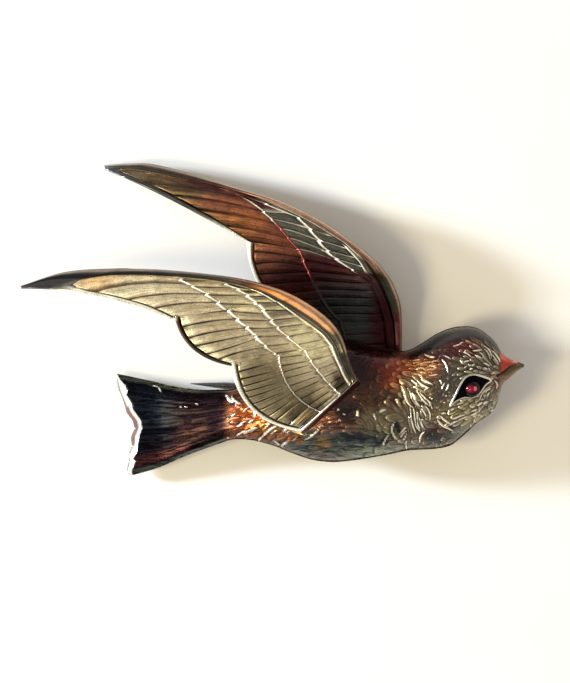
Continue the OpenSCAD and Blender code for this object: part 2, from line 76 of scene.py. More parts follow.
# Enamels and metals, and some painted highlights, as sRGB
PALETTE = {
    "tan_rose": (175, 139, 123), "eye_highlight_pink": (236, 130, 150), "steel": (112, 114, 118),
    "tail_rose": (112, 66, 74), "plum": (112, 36, 44), "flame": (255, 170, 92), "maroon": (77, 27, 28),
    "night_maroon": (40, 24, 29), "umber": (86, 54, 40), "flank_brown": (125, 79, 61),
    "rust": (134, 52, 28), "orange": (171, 83, 33), "amber": (174, 117, 59), "copper": (157, 100, 64),
    "ochre": (140, 112, 76), "olive": (123, 112, 84), "pale_olive": (113, 104, 93),
    "gold_olive": (139, 119, 84), "gold": (149, 137, 100), "slate": (88, 93, 88),
    "grey_green": (117, 123, 104), "mauve_grey": (104, 90, 90), "wine": (90, 46, 48),
    "deep_wine": (60, 22, 28), "ink": (42, 49, 55), "black": (18, 18, 22), "charcoal": (74, 72, 74),
    "crown_grey": (50, 44, 46), "navy": (16, 21, 33), "tail_maroon": (24, 16, 22),
    "tail_red": (33, 20, 23), "grey_edge": (84, 92, 88), "champagne": (225, 209, 174),
    "champagne_light": (250, 236, 198), "peach_gold": (255, 214, 156), "pale_gold": (255, 242, 196),
    "olive_drab": (150, 137, 107), "dark_olive": (89, 78, 60), "smoke": (118, 111, 97),
    "copper_band": (214, 146, 92), "black_olive": (66, 64, 54), "tan": (134, 109, 82),
    "tan_olive": (131, 115, 81), "red_brown": (139, 82, 65), "burnt_orange": (161, 97, 63),
    "black_teal": (58, 61, 63), "silver": (250, 246, 232), "tarnish": (206, 204, 200),
    "cream": (255, 244, 204), "dark_brown": (48, 38, 28), "beak_red": (193, 75, 64),
    "beak_tip_highlight": (219, 167, 140), "beak_brown": (108, 82, 52), "plain_back": (176, 160, 124),
    "rim_highlight_tan": (204, 168, 138), "copper_glow": (199, 151, 115), "red_line": (236, 112, 96),
    "ruby": (114, 16, 38), "ruby_dark": (12, 7, 9),
}


def linear(name):
    """A palette colour as linear light."""
    share = np.array(PALETTE[name]) / 255
    return np.where(share < 0.04045, share / 12.92, ((share + 0.055) / 1.055) ** 2.4)


def smooth(value):
    """A share from 0 to 1 with soft ends."""
    value = np.clip(value, 0, 1)
    return value * value * (3 - 2 * value)


def mix(low, high, share):
    """A value that goes from low to high with a share."""
    return low * (1 - share) + high * share


def between(value, low, high):
    """How far value has gone from low to high, smoothly."""
    return smooth((value - low) / (high - low))


def over(s, start, end, soft=0.02):
    """1 between two places along the wing, with soft ends."""
    return between(s, start - soft, start + soft) * (1 - between(s, end - soft, end + soft))


def read(table, column, at):
    """Smooth reading of a column of a table whose first column rises."""
    at = np.asarray(at, float)
    places, values = table[:, 0], table[:, column]
    last = len(places) - 1
    before = np.maximum(np.arange(last + 1) - 1, 0)
    after = np.minimum(np.arange(last + 1) + 1, last)
    slopes = (values[after] - values[before]) / (places[after] - places[before])
    i = np.clip(np.searchsorted(places, at, side="right") - 1, 0, last - 1)
    width = places[i + 1] - places[i]
    f = (at - places[i]) / width
    return (
        values[i] * (2 * f**3 - 3 * f**2 + 1)
        + values[i + 1] * (3 * f**2 - 2 * f**3)
        + slopes[i] * width * (f**3 - 2 * f**2 + f)
        + slopes[i + 1] * width * (f**3 - f**2)
    )


def straight(table, column, at):
    """Straight reading of a column of a table whose first column rises."""
    return np.interp(at, table[:, 0], table[:, column])


def paint(x, y, patches):
    """Colours at x, y: soft elliptical patches (x, y, reach along X, reach along Y, colour) laid in turn."""
    x, y = (
        x + 0.22 * np.sin(2.9 * y + 0.8 * x) + 0.12 * np.sin(7.1 * y - 3.3 * x),
        y + 0.18 * np.sin(3.1 * x - 1.1 * y) + 0.10 * np.sin(6.7 * x + 4.1 * y),
    )
    tint = np.ones(x.shape + (3,)) * linear(patches[0][4])
    for px, py, rx, ry, name in patches[1:]:
        reach = np.hypot((x - px) / rx, (y - py) / ry)
        tint = mix(tint, linear(name), smooth(1.5 - reach)[..., None])
    return tint


def ramp(at, stops):
    """Colours along a line: stops are (place, colour)."""
    places = [place for place, name in stops]
    colours = np.array([linear(name) for place, name in stops])
    return np.stack([np.interp(at, places, colours[:, k]) for k in range(3)], -1)


def laid_over(tint, name, share):
    """A colour laid over another by a share at each point."""
    return mix(tint, linear(name), np.asarray(share)[..., None])


def layered(tint, *layers):
    """A tint with further colours laid over it in turn: layers are (colour, share)."""
    for name, share in layers:
        tint = laid_over(tint, name, share)
    return tint


def blurred(field, radius):
    """Mean of a grid of values over a square of the given radius, in cells."""
    kernel = np.ones(2 * radius + 1) / (2 * radius + 1)
    for axis in (0, 1):
        wide = np.pad(field, [(radius, radius) if k == axis else (0, 0) for k in (0, 1)], mode="edge")
        field = np.apply_along_axis(np.convolve, axis, wide, kernel, mode="valid")
    return field


def tone(relief, full):
    """How far each point lies in a hollow and how far on a lip, both from 0 to 1 at a full height."""
    mean = blurred(relief, TONE_CELLS)
    return np.clip((mean - relief) / full, 0, 1), np.clip((relief - mean) / full, 0, 1)


def normals_of(grid):
    """Unit normals of a grid of points, facing out of the front."""
    normal = np.cross(np.gradient(grid, axis=0), np.gradient(grid, axis=1))
    normal *= np.sign(normal[..., 2].mean())
    return normal / np.maximum(np.linalg.norm(normal, axis=-1, keepdims=True), 1e-9)


# Meshes

def new_piece(name, points, faces):
    """A smooth piece from points in design millimetres."""
    mesh = bpy.data.meshes.new(name)
    mesh.from_pydata(ORIGIN + points * UNIT, [], faces)
    mesh.shade_smooth()
    piece = bpy.data.objects.new(name, mesh)
    bpy.context.scene.collection.objects.link(piece)
    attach(piece, "root")
    return piece


def set_tint(piece, colours):
    """Keeps a colour at each point for the materials."""
    tint = piece.data.attributes.new("tint", "FLOAT_COLOR", "POINT")
    tint.data.foreach_set("color", np.c_[colours, np.ones(len(colours))].astype(np.float32).ravel())


def grid_faces(first, rows, columns, flip=False):
    """Quads of a grid of points that starts at index first."""
    i, j = np.meshgrid(np.arange(rows - 1), np.arange(columns - 1), indexing="ij")
    a = first + i * columns + j
    quads = np.stack([a, a + 1, a + columns + 1, a + columns], -1).reshape(-1, 4)
    return quads[:, ::-1] if flip else quads


def loop_faces(rings, sides, closed=False):
    """Quads between rings of points, and from the last ring to the first one if closed."""
    i, j = np.meshgrid(np.arange(rings if closed else rings - 1), np.arange(sides), indexing="ij")
    after, beside = (i + 1) % rings, (j + 1) % sides
    corners = [i * sides + j, i * sides + beside, after * sides + beside, after * sides + j]
    return np.stack(corners, -1).reshape(-1, 4)


def zip_faces(one, other, flip=False):
    """Triangles between two lines of point numbers that run side by side."""
    faces, i, j = [], 0, 0
    while i < len(one) - 1 or j < len(other) - 1:
        step_one = (i + 1) / (len(one) - 1) <= (j + 1) / (len(other) - 1)
        if j == len(other) - 1 or (i < len(one) - 1 and step_one):
            faces.append([one[i], one[i + 1], other[j]])
            i += 1
        else:
            faces.append([one[i], other[j + 1], other[j]])
            j += 1
    faces = np.array(faces)
    return faces[:, ::-1] if flip else faces


def closed_sheet(name, front, back, tint, values, start=None, end=None):
    """A closed solid between a fine front grid and a coarse back grid with the same rows.

    values are named numbers for each front point, which the materials read. start and end are
    (points, colours, values) of further rows that lead from the front's first and last row down to
    the back.
    """
    rows, columns = front.shape[:2]
    blocks, lead_rows = [(front, tint, values)], 0
    if start is not None:
        points, colours, numbers = start
        blocks.insert(0, (points[::-1], colours[::-1], numbers))
        lead_rows = len(points)
    if end is not None:
        blocks.append(end)
    front = np.concatenate([points for points, colours, numbers in blocks])
    tint = np.concatenate([colours for points, colours, numbers in blocks])
    first_back, back_columns = len(front) * columns, back.shape[1]
    count = np.arange(first_back).reshape(-1, columns)
    back_count = first_back + np.arange(rows * back_columns).reshape(rows, back_columns)
    sides = []
    for side, flip in ((0, True), (-1, False)):
        line, under = count[lead_rows:lead_rows + rows, side], back_count[:, side]
        quads = np.stack([line[:-1], under[:-1], under[1:], line[1:]], -1)
        sides.append(quads[:, ::-1] if flip else quads)
    quads = np.concatenate([
        grid_faces(0, len(front), columns, flip=True),
        grid_faces(first_back, rows, back_columns),
        *sides,
    ])
    triangles = np.concatenate([
        zip_faces(count[0], back_count[0]),
        zip_faces(count[-1], back_count[-1], flip=True),
    ])
    points = np.concatenate([front.reshape(-1, 3), back.reshape(-1, 3)])
    piece = new_piece(name, points, quads.tolist() + triangles.tolist())
    back_tint = np.ones((back_count.size, 3)) * linear("plain_back")
    set_tint(piece, np.concatenate([tint.reshape(-1, 3), back_tint]))
    for key in values:
        fields = [np.broadcast_to(more.get(key, 0.0), grid.shape[:2]) for grid, colours, more in blocks]
        flat = np.concatenate([np.concatenate(fields).ravel(), np.zeros(back_count.size)])
        number = piece.data.attributes.new(key, "FLOAT", "POINT")
        number.data.foreach_set("value", flat.astype(np.float32))
    return piece


# Body

# Sections of the body from rump to beak tip: place as a share of its length; top and low as shares
# of its height; deep and lift as shares of its depth; hollow, edge and power as shares and powers
BODY_SECTIONS = np.array([
    # at,    top,    low,   deep,  lift, hollow, edge, power
    [0.00,  0.090,  0.325, 0.30,  0.00, 0.0, 1.0, 2.8],
    [0.06,  0.155,  0.330, 0.40,  0.00, 0.0, 1.0, 2.5],
    [0.13,  0.240,  0.370, 0.54,  0.00, 0.1, 1.0, 2.3],
    [0.20,  0.330,  0.435, 0.68,  0.00, 0.9, 1.0, 2.2],
    [0.27,  0.410,  0.490, 0.80,  0.00, 1.0, 1.0, 2.1],
    [0.34,  0.475,  0.510, 0.90,  0.00, 1.0, 1.0, 2.0],
    [0.40,  0.495,  0.500, 0.96,  0.00, 1.0, 1.0, 2.0],
    [0.47,  0.445,  0.475, 0.96,  0.00, 1.0, 1.0, 2.0],
    [0.54,  0.410,  0.445, 0.93,  0.00, 0.9, 1.0, 2.0],
    [0.60,  0.405,  0.415, 0.92,  0.00, 0.1, 1.0, 2.0],
    [0.65,  0.465,  0.408, 0.95,  0.00, 0.0, 1.0, 2.0],
    [0.70,  0.540,  0.400, 0.98,  0.00, 0.0, 1.0, 2.0],
    [0.75,  0.588,  0.370, 0.98,  0.01, 0.0, 1.0, 2.0],
    [0.80,  0.602,  0.275, 0.92,  0.05, 0.0, 1.0, 2.0],
    [0.84,  0.585,  0.185, 0.78,  0.12, 0.0, 1.0, 2.0],
    [0.88,  0.520,  0.120, 0.52,  0.24, 0.0, 1.0, 2.0],
    [0.905, 0.455,  0.035, 0.36,  0.30, 0.0, 0.9, 2.0],
    [0.925, 0.375, -0.120, 0.26,  0.34, 0.0, 0.8, 2.0],
    [0.95,  0.335, -0.180, 0.19,  0.37, 0.0, 0.6, 2.0],
    [0.98,  0.310, -0.240, 0.11,  0.41, 0.0, 0.4, 2.0],
    [1.00,  0.288, -0.270, 0.03,  0.46, 0.0, 0.2, 2.0],
])

# Sections of the tail from its end to the rump: place as a share of its length, how far each edge
# has flared, thickness, drop and edge as shares, and the section's power
TAIL_SECTIONS = np.array([
    # at,  flare_top, flare_low, thick, drop, edge, power
    [1.00,  1.00, 1.00, 0.8, 1.00, 0.8, 6.0],
    [0.72,  0.53, 0.78, 1.0, 0.84, 0.8, 6.0],
    [0.50,  0.13, 0.53, 1.2, 0.62, 0.9, 5.0],
    [0.28, -0.07, 0.29, 1.6, 0.33, 0.9, 4.0],
    [0.11, -0.05, 0.10, 2.2, 0.12, 1.0, 3.2],
])


def outline_table():
    """The tail's and the body's sections as one table in millimetres from the rump."""
    rump_top, rump_low = BODY_SECTIONS[0, 1] * BODY_H, BODY_SECTIONS[0, 2] * BODY_H
    rows = []
    for at, flare_top, flare_low, thick, drop, edge, power in TAIL_SECTIONS:
        rows.append([
            -TAIL_L * at,
            mix(rump_top, CORNER_TOP * TAIL_W, flare_top),
            -mix(rump_low, CORNER_LOW * TAIL_W, flare_low),
            TAIL_T * thick,
            BACK_Z - TAIL_DROP * drop,
            0.0,
            EDGE_D * edge,
            power,
        ])
    for at, top, low, deep, lift, hollow, edge, power in BODY_SECTIONS:
        rows.append([
            BODY_L * at,
            BODY_H * top,
            -BODY_H * low,
            BODY_D * deep,
            BACK_Z + BODY_D * lift,
            (BODY_D * deep + EDGE_D - BODY_WALL) * hollow,
            EDGE_D * edge,
            power,
        ])
    return np.array(rows)


OUTLINE = outline_table()
TOP, LOW, DEEP, LIFT, HOLLOW, EDGE, POWER = range(1, 8)

# The eye: its place, the almond round it and its cabochon
EYE_X = 0.818 * BODY_L
EYE_Y = 0.090 * BODY_H
EYE_D = 2.1
EYE_DOME = 0.7
EYE_BASE = 0.35
SOCKET_D = 0.45
# Points more than EYE_REACH to either side of the eye count as BEYOND_EYE outside the almond
EYE_REACH, BEYOND_EYE = 6, 9.0
EYE_CORNERS = [
    (28.1, -0.8), (28.75, 0.6), (29.4, 1.95), (30.1, 2.94), (31.07, 3.3), (32.3, 3.05), (33.4, 2.55),
    (32.76, 2.0), (31.8, 0.78), (30.94, 0.32), (30.0, 0.35), (28.9, -0.1),
]


def dome(c, power):
    """Height of a section across the body: 1 in the middle and 0 at both edges."""
    return np.sqrt(np.maximum(0, 1 - np.abs(c) ** power))


def front_z(x, y):
    """Height of the body's plain front at x, y."""
    columns = (TOP, LOW, DEEP, LIFT, EDGE, POWER)
    top, low, deep, lift, edge, power = (read(OUTLINE, column, x) for column in columns)
    c = np.clip((2 * y - top - low) / (top - low), -0.99, 0.99)
    return lift + edge + deep * dome(c, power)


def distance_to(x, y, line):
    """Distance from each point to a line of points, and the share along it of the nearest place."""
    best, share = np.full(x.shape, np.inf), np.zeros(x.shape)
    for k, ((ax, ay), (bx, by)) in enumerate(zip(line[:-1], line[1:])):
        dx, dy = bx - ax, by - ay
        f = np.clip(((x - ax) * dx + (y - ay) * dy) / max(dx * dx + dy * dy, 1e-9), 0, 1)
        away = np.hypot(x - ax - f * dx, y - ay - f * dy)
        share = np.where(away < best, (k + f) / (len(line) - 1), share)
        best = np.minimum(best, away)
    return best, share


def rounded(corners, count):
    """A smooth closed line through corners."""
    points = np.array(corners)
    before, after, next_one = (np.roll(points, shift, axis=0)[:, None] for shift in (1, -1, -2))
    f = np.linspace(0, 1, count, endpoint=False)[None, :, None]
    here = points[:, None]
    line = here + 0.5 * f * (after - before + f * (2 * before - 5 * here + 4 * after - next_one
                                                  + f * (3 * (here - after) + next_one - before)))
    return line.reshape(-1, 2)


EYE_LINE = rounded(EYE_CORNERS, 8)


def almond(x, y):
    """Distance to the eye's outline, over 0 inside it."""
    closed = np.concatenate([EYE_LINE, EYE_LINE[:1]])
    near = np.abs(x - EYE_X) < EYE_REACH
    nx, ny = x[near], y[near]
    inside = np.zeros(nx.shape, bool)
    for (ax, ay), (bx, by) in zip(closed[:-1], closed[1:]):
        spans = (ay > ny) != (by > ny)
        inside ^= spans & (nx < ax + (ny - ay) * (bx - ax) / ((by - ay) or 1e-9))
    away = distance_to(nx, ny, closed)[0]
    signed = np.full(np.shape(x), -BEYOND_EYE)
    signed[near] = np.where(inside, away, -away)
    return signed


SOCKET_Z = float(front_z(EYE_X, EYE_Y)) - SOCKET_D

# Enamel colours laid over the body: x, y, reach along X and along Y, colour
BODY_PATCHES = [
    (12.6, 0, 7.8, 5.2, "flank_brown"), (17.2, 4.9, 5.9, 3.9, "maroon"),
    (15.5, 3.2, 2.3, 3.4, "night_maroon"), (14.6, -0.7, 2.1, 2.3, "night_maroon"),
    (19.8, 0.3, 4.7, 1.7, "umber"), (22, 3.6, 2.3, 2.3, "rust"), (24.8, 4.3, 2.6, 1.7, "orange"),
    (21.6, 2.2, 2, 0.9, "orange"), (25, 4.2, 1.4, 0.9, "amber"), (19.8, -3.2, 3.6, 2.3, "olive"),
    (14.6, -6, 6.8, 2, "slate"), (19.8, -7, 4.4, 0.9, "grey_green"), (8.7, -5.5, 3.1, 1.6, "slate"),
    (0.9, -0.2, 0.9, 0.9, "red_brown"), (2.6, -2.4, 2.5, 1.9, "orange"), (4.3, -3.6, 1.8, 0.9, "amber"),
    (7.4, -5, 1.6, 0.6, "copper"), (15.6, -4.9, 2.4, 0.6, "ink"), (19, -5.3, 1.2, 0.5, "ink"),
    (11.5, -5.6, 1, 0.9, "ochre"), (31.9, 5.6, 3.4, 2.3, "pale_olive"), (29.8, 2, 3.9, 3.4, "pale_olive"),
    (28.2, 2.8, 0.7, 0.7, "slate"), (26.3, 0, 1.6, 1.2, "mauve_grey"), (23.7, 1.3, 2.2, 2, "gold_olive"),
    (24.1, -2.3, 1.7, 2, "pale_olive"), (29.5, -1.6, 3.9, 1.8, "gold"),
    (33.3, -0.3, 1.4, 1.8, "pale_olive"), (29.8, -4.7, 2.6, 1.6, "slate"), (25.9, -5.1, 1.4, 1.2, "ink"),
    (23, -5.6, 1.3, 1.2, "pale_olive"), (29.6, 6.9, 2.6, 1.3, "plum"), (26.7, 6, 2.3, 1, "wine"),
    (21.4, -3.5, 0.5, 0.7, "black"), (19.1, -2.5, 0.8, 0.8, "olive"),
]

# How the feathers lie over the body: at x, y, the way their tips point in degrees, and their length,
# width and height
BODY_FLOW = [
    (17.2, 4.9, 180, 1.6, 0.80, 0.05), (21.1, 4.9, 182, 1.5, 0.70, 0.06), (25, 4.3, 184, 1.5, 0.37, 0.16),
    (19.8, 0.7, 190, 1.8, 1.00, 0.08), (18.1, -1.6, 200, 2.1, 1.60, 0.12),
    (21.1, -4.5, 215, 2, 1.50, 0.12), (16.5, -4.9, 178, 3, 0.42, 0.12), (11.3, -6, 176, 3, 0.42, 0.12),
    (12.6, -3.2, 185, 2.2, 0.60, 0.10), (2.2, -3.2, 205, 1.6, 0.60, 0.16),
    (6.1, -4.8, 205, 1.7, 0.60, 0.16), (0.3, -0.7, 190, 1.6, 0.80, 0.12), (24.3, 2, 150, 2, 0.44, 0.24),
    (22.9, 0, 118, 2.7, 0.47, 0.25), (23.9, -2.6, 98, 2.4, 0.42, 0.24),
    (28.9, -2.3, 205, 1.7, 0.44, 0.24), (32.4, -0.8, 215, 1.3, 0.44, 0.19),
    (33.9, 1, 245, 1.4, 0.47, 0.15), (32.9, 5.9, 132, 2, 0.37, 0.22), (30.6, 4.7, 165, 1.2, 0.37, 0.15),
    (28.2, 2.6, 235, 1.4, 0.42, 0.03), (26.4, 0, 200, 0.8, 0.38, 0.03),
    (29.8, -4.3, 200, 1.9, 0.53, 0.10), (25.7, -5.2, 200, 1.4, 0.63, 0.09),
    (22.4, -5.9, 190, 2.4, 0.95, 0.10), (26.9, 6.5, 170, 1.2, 0.60, 0.05),
    (27.4, 1.3, 200, 0.8, 0.40, 0.03), (28.6, 6.6, 170, 1.4, 0.60, 0.03),
]

# Single raised strokes, and cut ones where the height is under 0: from x, y to x, y, how far the
# middle bows to the left of the way from one to the other, width and height
BODY_STROKES = [
    (-10.4, 1.8, -9.7, 1.6, 0.10, 0.10, 0.05), (-9.7, 1.6, -9.6, 0.4, 0.05, 0.10, 0.05),
    (-7.2, -0.9, -7, -1, 0, 0.16, 0.05), (-6.4, -0.9, -6.2, -1, 0, 0.16, 0.05),
    (-4.9, -0.5, -4.7, -0.6, 0, 0.16, 0.05), (-0.9, 0.6, -0.2, -0.3, 0, 0.30, 0.08),
    (16.3, -0.9, 16.1, -2.3, 0, 0.14, 0.14), (19, -1.6, 19.8, -1.2, 0.07, 0.16, 0.1),
    (18.2, -1.7, 18.5, -2.6, 0, 0.14, 0.1), (18.5, -1.8, 19.9, -3.9, -0.39, 0.13, -0.12),
    (18.1, 0.1, 19.6, -0.5, 0.33, 0.12, -0.08), (20.9, -2.9, 21.1, -4.9, -0.42, 0.16, 0.16),
    (21.6, -4.4, 22.4, -3.5, 0, 0.14, 0.14), (21.7, -4.9, 22.4, -4, 0.07, 0.13, 0.12),
    (22.1, -5.2, 22.5, -4.4, 0, 0.13, 0.1), (20.2, -4.5, 19.4, -6, -0.1, 0.14, 0.12),
    (22.5, -5.3, 22.6, -6.4, -0.13, 0.14, 0.12), (24.2, -5.5, 24.8, -4.1, 0.21, 0.2, 0.16),
    (18.5, -4.6, 18.6, -4.7, 0, 0.16, 0.14), (14.4, -1.8, 14.4, -1.9, 0, 0.16, 0.14),
    (13.4, -2.8, 13.5, -2.9, 0, 0.16, 0.14), (11.6, -3.2, 11.6, -3.4, 0, 0.13, 0.12),
    (22.2, 1.2, 23.3, -1, -0.34, 0.18, 0.16), (22.8, 1.3, 23.5, -0.8, -0.21, 0.12, -0.12),
    (23.2, 1, 24.2, -0.8, -0.18, 0.21, 0.16), (23.8, 1.3, 25.5, -0.8, -0.21, 0.17, 0.14),
    (24.2, 1, 25.7, -0.4, -0.1, 0.16, 0.14), (23.1, 2.6, 23.7, 2.1, 0, 0.17, 0.12),
    (23.9, 2.5, 25.4, 1.6, -0.16, 0.21, 0.16), (24.4, 2.9, 25.9, 2, -0.1, 0.17, 0.14),
    (24.8, 1.3, 25.4, 1.6, 0.04, 0.16, 0.1), (23.3, 1.6, 24.1, 1.8, 0.07, 0.14, 0.1),
    (23, -1.3, 23.7, -4.3, -0.18, 0.16, 0.15), (23.5, -1.4, 23.7, -3.1, -0.08, 0.13, 0.13),
    (23.6, -3.1, 24.3, -4.1, -0.08, 0.13, 0.12), (23.9, -1.7, 23.9, -2.6, -0.05, 0.13, 0.12),
    (24.3, -2.6, 24.6, -3.5, -0.04, 0.16, 0.13), (23.9, -2.9, 24.2, -3.8, -0.04, 0.14, 0.13),
    (24.4, -1.2, 25, -2.2, 0.08, 0.16, 0.13), (24.8, -0.7, 25.5, -2.6, 0.29, 0.14, 0.13),
    (25.1, 0.1, 25.7, -0.9, 0.05, 0.14, 0.12), (27.4, 2.3, 27, 1.4, 0, 0.14, 0.13),
    (27.9, 2.1, 27.6, 1.3, 0.05, 0.17, 0.13), (26.8, 2.6, 27, 2.1, 0.03, 0.16, 0.12),
    (25.7, 0.2, 25.8, 0.1, 0, 0.14, 0.12), (27.3, -0.3, 27.4, -0.4, 0, 0.17, 0.14),
    (27.6, 0.6, 27.6, 0.5, 0, 0.13, 0.12), (25.7, -1, 25.8, -1.1, 0, 0.13, 0.1),
    (27, 5.3, 27.8, 3.6, 0.21, 0.16, 0.14), (24.8, 5.9, 26.1, 5.6, -0.13, 0.2, 0.16),
    (27.2, 5.8, 28.2, 5.3, 0.05, 0.12, 0.06), (23.5, 5.1, 24.3, 5.2, 0.05, 0.12, 0.09),
    (24.6, 4.9, 25.6, 5, -0.07, 0.13, 0.11), (25.7, 4.9, 26.4, 5.1, 0.05, 0.13, 0.1),
    (23.7, 4.5, 24.8, 4.7, 0.07, 0.13, 0.1), (25.2, 4.4, 26.4, 4.5, -0.07, 0.13, 0.1),
    (23.5, 4, 24.6, 4.2, -0.05, 0.13, 0.1), (24.8, 3.8, 26.1, 4, 0.07, 0.14, 0.12),
    (24.2, 3.6, 25.1, 3.4, 0.05, 0.17, 0.13), (23.4, 3.3, 24.2, 3.4, 0, 0.13, 0.1),
    (25.4, 3.2, 26.5, 3.4, -0.07, 0.13, 0.11), (26, 4.2, 26.4, 4.2, 0, 0.16, 0.12),
    (24.3, 4.2, 24.8, 4, 0, 0.14, 0.12), (28.2, -1.4, 28.6, -1, 0, 0.14, 0.12),
    (29, -0.6, 29.9, -0.3, 0.04, 0.14, 0.12), (26.5, -2.6, 27.8, -3.7, -0.1, 0.23, 0.17),
    (26.9, -2.1, 28.2, -3.1, -0.08, 0.25, 0.17), (28.1, -3.1, 29.1, -2.7, 0.05, 0.18, 0.15),
    (27.4, -3.3, 28.5, -4, -0.05, 0.17, 0.13), (28.5, -2.5, 30, -1.9, 0.07, 0.18, 0.15),
    (29.1, -2.7, 30.4, -2.1, 0.05, 0.16, 0.12), (27, -1.8, 27.6, -1.7, 0.03, 0.17, 0.13),
    (30.9, -1.5, 31.5, -1.2, 0, 0.17, 0.14), (31.6, -0.7, 32.3, -0.3, 0, 0.2, 0.15),
    (32.4, -0.5, 32.9, -0.2, 0, 0.25, 0.16), (30.8, -2, 31.6, -1.6, 0, 0.17, 0.14),
    (31.7, -1.6, 32.1, -1.2, 0, 0.16, 0.13), (30.9, -1, 31.3, -0.8, 0, 0.14, 0.12),
    (32.6, 1, 33.3, 1.5, 0.04, 0.16, 0.13), (32.9, 0.5, 33.2, 1, 0, 0.16, 0.13),
    (33.4, -1.5, 33.9, -1.2, 0, 0.14, 0.1), (33.9, 2.5, 34.1, 1.5, 0.21, 0.16, 0.14),
    (33.4, 1.8, 31.9, 0, -0.26, 0.12, 0.12), (31.1, 6.4, 32.2, 6.5, -0.05, 0.17, 0.12),
    (31.3, 5.9, 32.3, 5.4, -0.07, 0.13, 0.12), (32.4, 7, 33.5, 5.4, 0.31, 0.14, 0.14),
    (32.5, 6.6, 33.3, 5.3, 0.18, 0.12, 0.12), (31.9, 6.2, 32.6, 5.4, 0.1, 0.12, 0.1),
    (33.5, 6.4, 34.6, 4.9, 0.13, 0.17, 0.15), (33.5, 5.9, 34.3, 4.7, 0.1, 0.13, 0.13),
    (32.4, 4.8, 33.2, 4.4, 0.05, 0.16, 0.13), (32.5, 4.2, 32.8, 4, 0, 0.18, 0.14),
    (33.1, 4.1, 33.2, 3.9, 0, 0.17, 0.13), (29.9, 4.9, 30.6, 5.1, 0.04, 0.14, 0.12),
    (30.4, 4.7, 30.7, 4.4, 0, 0.14, 0.12), (30.7, 4.1, 31, 4, 0, 0.18, 0.14),
    (30.9, 4.4, 31.3, 4.7, 0, 0.13, 0.11), (29.9, 4.1, 30.2, 4.4, 0, 0.14, 0.1),
    (28.5, 7, 29.8, 7.6, -0.13, 0.1, 0.05), (29.8, 6.2, 30.8, 5.6, 0.1, 0.12, 0.06),
    (-0.3, 0.6, 1, -0.5, -0.21, 0.25, 0.17), (-0.3, -2.3, 0.3, -1.8, 0.04, 0.2, 0.15),
    (-0.7, -2.4, -0.6, -2.5, 0, 0.16, 0.12), (-0.7, -4.9, -0.6, -5.1, 0, 0.17, 0.12),
    (1.3, -4.4, 3.2, -3.6, 0.1, 0.21, 0.16), (3.8, -4.8, 5.7, -3.4, 0.16, 0.22, 0.16),
    (3.3, -5.3, 3.7, -4.8, 0, 0.2, 0.15), (6.2, -6.1, 7.2, -5.3, 0.05, 0.2, 0.16),
    (6.4, -4.2, 7.4, -3.6, 0.05, 0.16, 0.13), (2.7, -2.2, 3.2, -1.2, 0.05, 0.25, 0.16),
    (3.9, -2.3, 4.7, -2.8, -0.04, 0.18, 0.13), (0.9, -3.2, 1.8, -2.7, 0.04, 0.17, 0.14),
    (0.4, -4.7, 1.7, -4, 0.05, 0.17, 0.14), (2, -3.1, 2.7, -2.5, 0.04, 0.16, 0.13),
    (1.3, -1.6, 2.1, -0.9, 0.05, 0.16, 0.13), (2.2, -4.2, 3, -3.6, 0, 0.16, 0.13),
    (5.3, -5.3, 6, -5.8, 0, 0.16, 0.12), (7.7, -5.3, 8.3, -4.8, 0, 0.14, 0.11),
    (9.3, -5.2, 11.3, -3.6, -0.16, 0.13, 0.12), (0.5, -3.5, 1.3, -3.2, 0.04, 0.16, 0.13),
    (4.2, -3.6, 4.8, -3.1, 0.03, 0.17, 0.14), (4.9, -4.4, 5.6, -4, 0.03, 0.14, 0.12),
]

# Rows of the casting's front from tail to beak, and the columns across it
TAIL_ROWS, TRUNK_ROWS, HEAD_ROWS, BEAK_ROWS = 80, 128, 168, 26
HEAD_FROM, BEAK_FROM = 22.5, 34.7
BODY_COLUMNS = 214
BACK_COLUMNS = 22
WALL_RINGS = 3
END_FACE_ROWS = 7
# Shares of the edge's thickness that the back's edge lies up it, and of the width that the hollow has
UNDER_EDGE, HOLLOW_REACH = 0.9, 0.78

# Relief of the body, in millimetres
RELIEF_SINK = 0.10
EDGE_SOFT = 0.10
CROWN_FROM, CROWN_SOFT = 0.77, 0.06
TAIL_RIDGE = 0.039
MOUTH_LINE = np.array([(34.3, 3.1), (35.3, 3.8), (35.9, 4.3), (36.6, 4.6), (37.1, 4.8), (37.8, 4.55)])
MOUTH_W, MOUTH_D = 0.16, 0.16
# The tail's ragged end: place across it, and how far the front and the back edge run inwards
TAIL_END = np.array([
    (-1.00, 1.40, 1.30), (-0.96, 1.40, 0.79), (-0.87, 1.40, 0.68), (-0.72, 1.86, 0.91),
    (-0.67, 1.51, 0.91), (-0.57, 1.98, 0.91), (-0.43, 2.10, 1.28), (-0.23, 2.33, 1.21),
    (-0.07, 2.70, 1.70), (0.07, 2.60, 1.45), (0.23, 1.85, 0.63), (0.30, 1.51, 0.50), (0.41, 1.40, 0.33),
    (0.59, 0.63, -0.09), (0.68, 0.80, -0.40), (0.77, 0.50, -0.55), (0.90, -0.30, -0.60),
    (1.00, -0.66, -0.62),
])
# How fast these runs grow along the tail towards its end, and how much later they start
FADE_RATE, FADE_START = 1.6, 0.6

# The feathers' lattice, in millimetres: where it starts and ends, its step, and how much of a
# feather's length and width its neighbours leave free
FIELD_LOW, FIELD_HIGH = (-0.6, -8.6), (BEAK_FROM, 10)
LATTICE = 0.2
ROOM_ALONG, ROOM_ACROSS = 0.55, 0.8
# Spread of the feathers' ways, in radians, and of their sizes and heights, as shares
WAY_SPREAD, SIZE_SPREAD, HEIGHT_SPREAD = 0.12, (0.85, 1.2), (0.15, 1.55)
SEED = 11
# Half widths of a feather and of a stroke as shares of their widths
HALF_FEATHER = 0.62
HALF_STROKE = 0.62

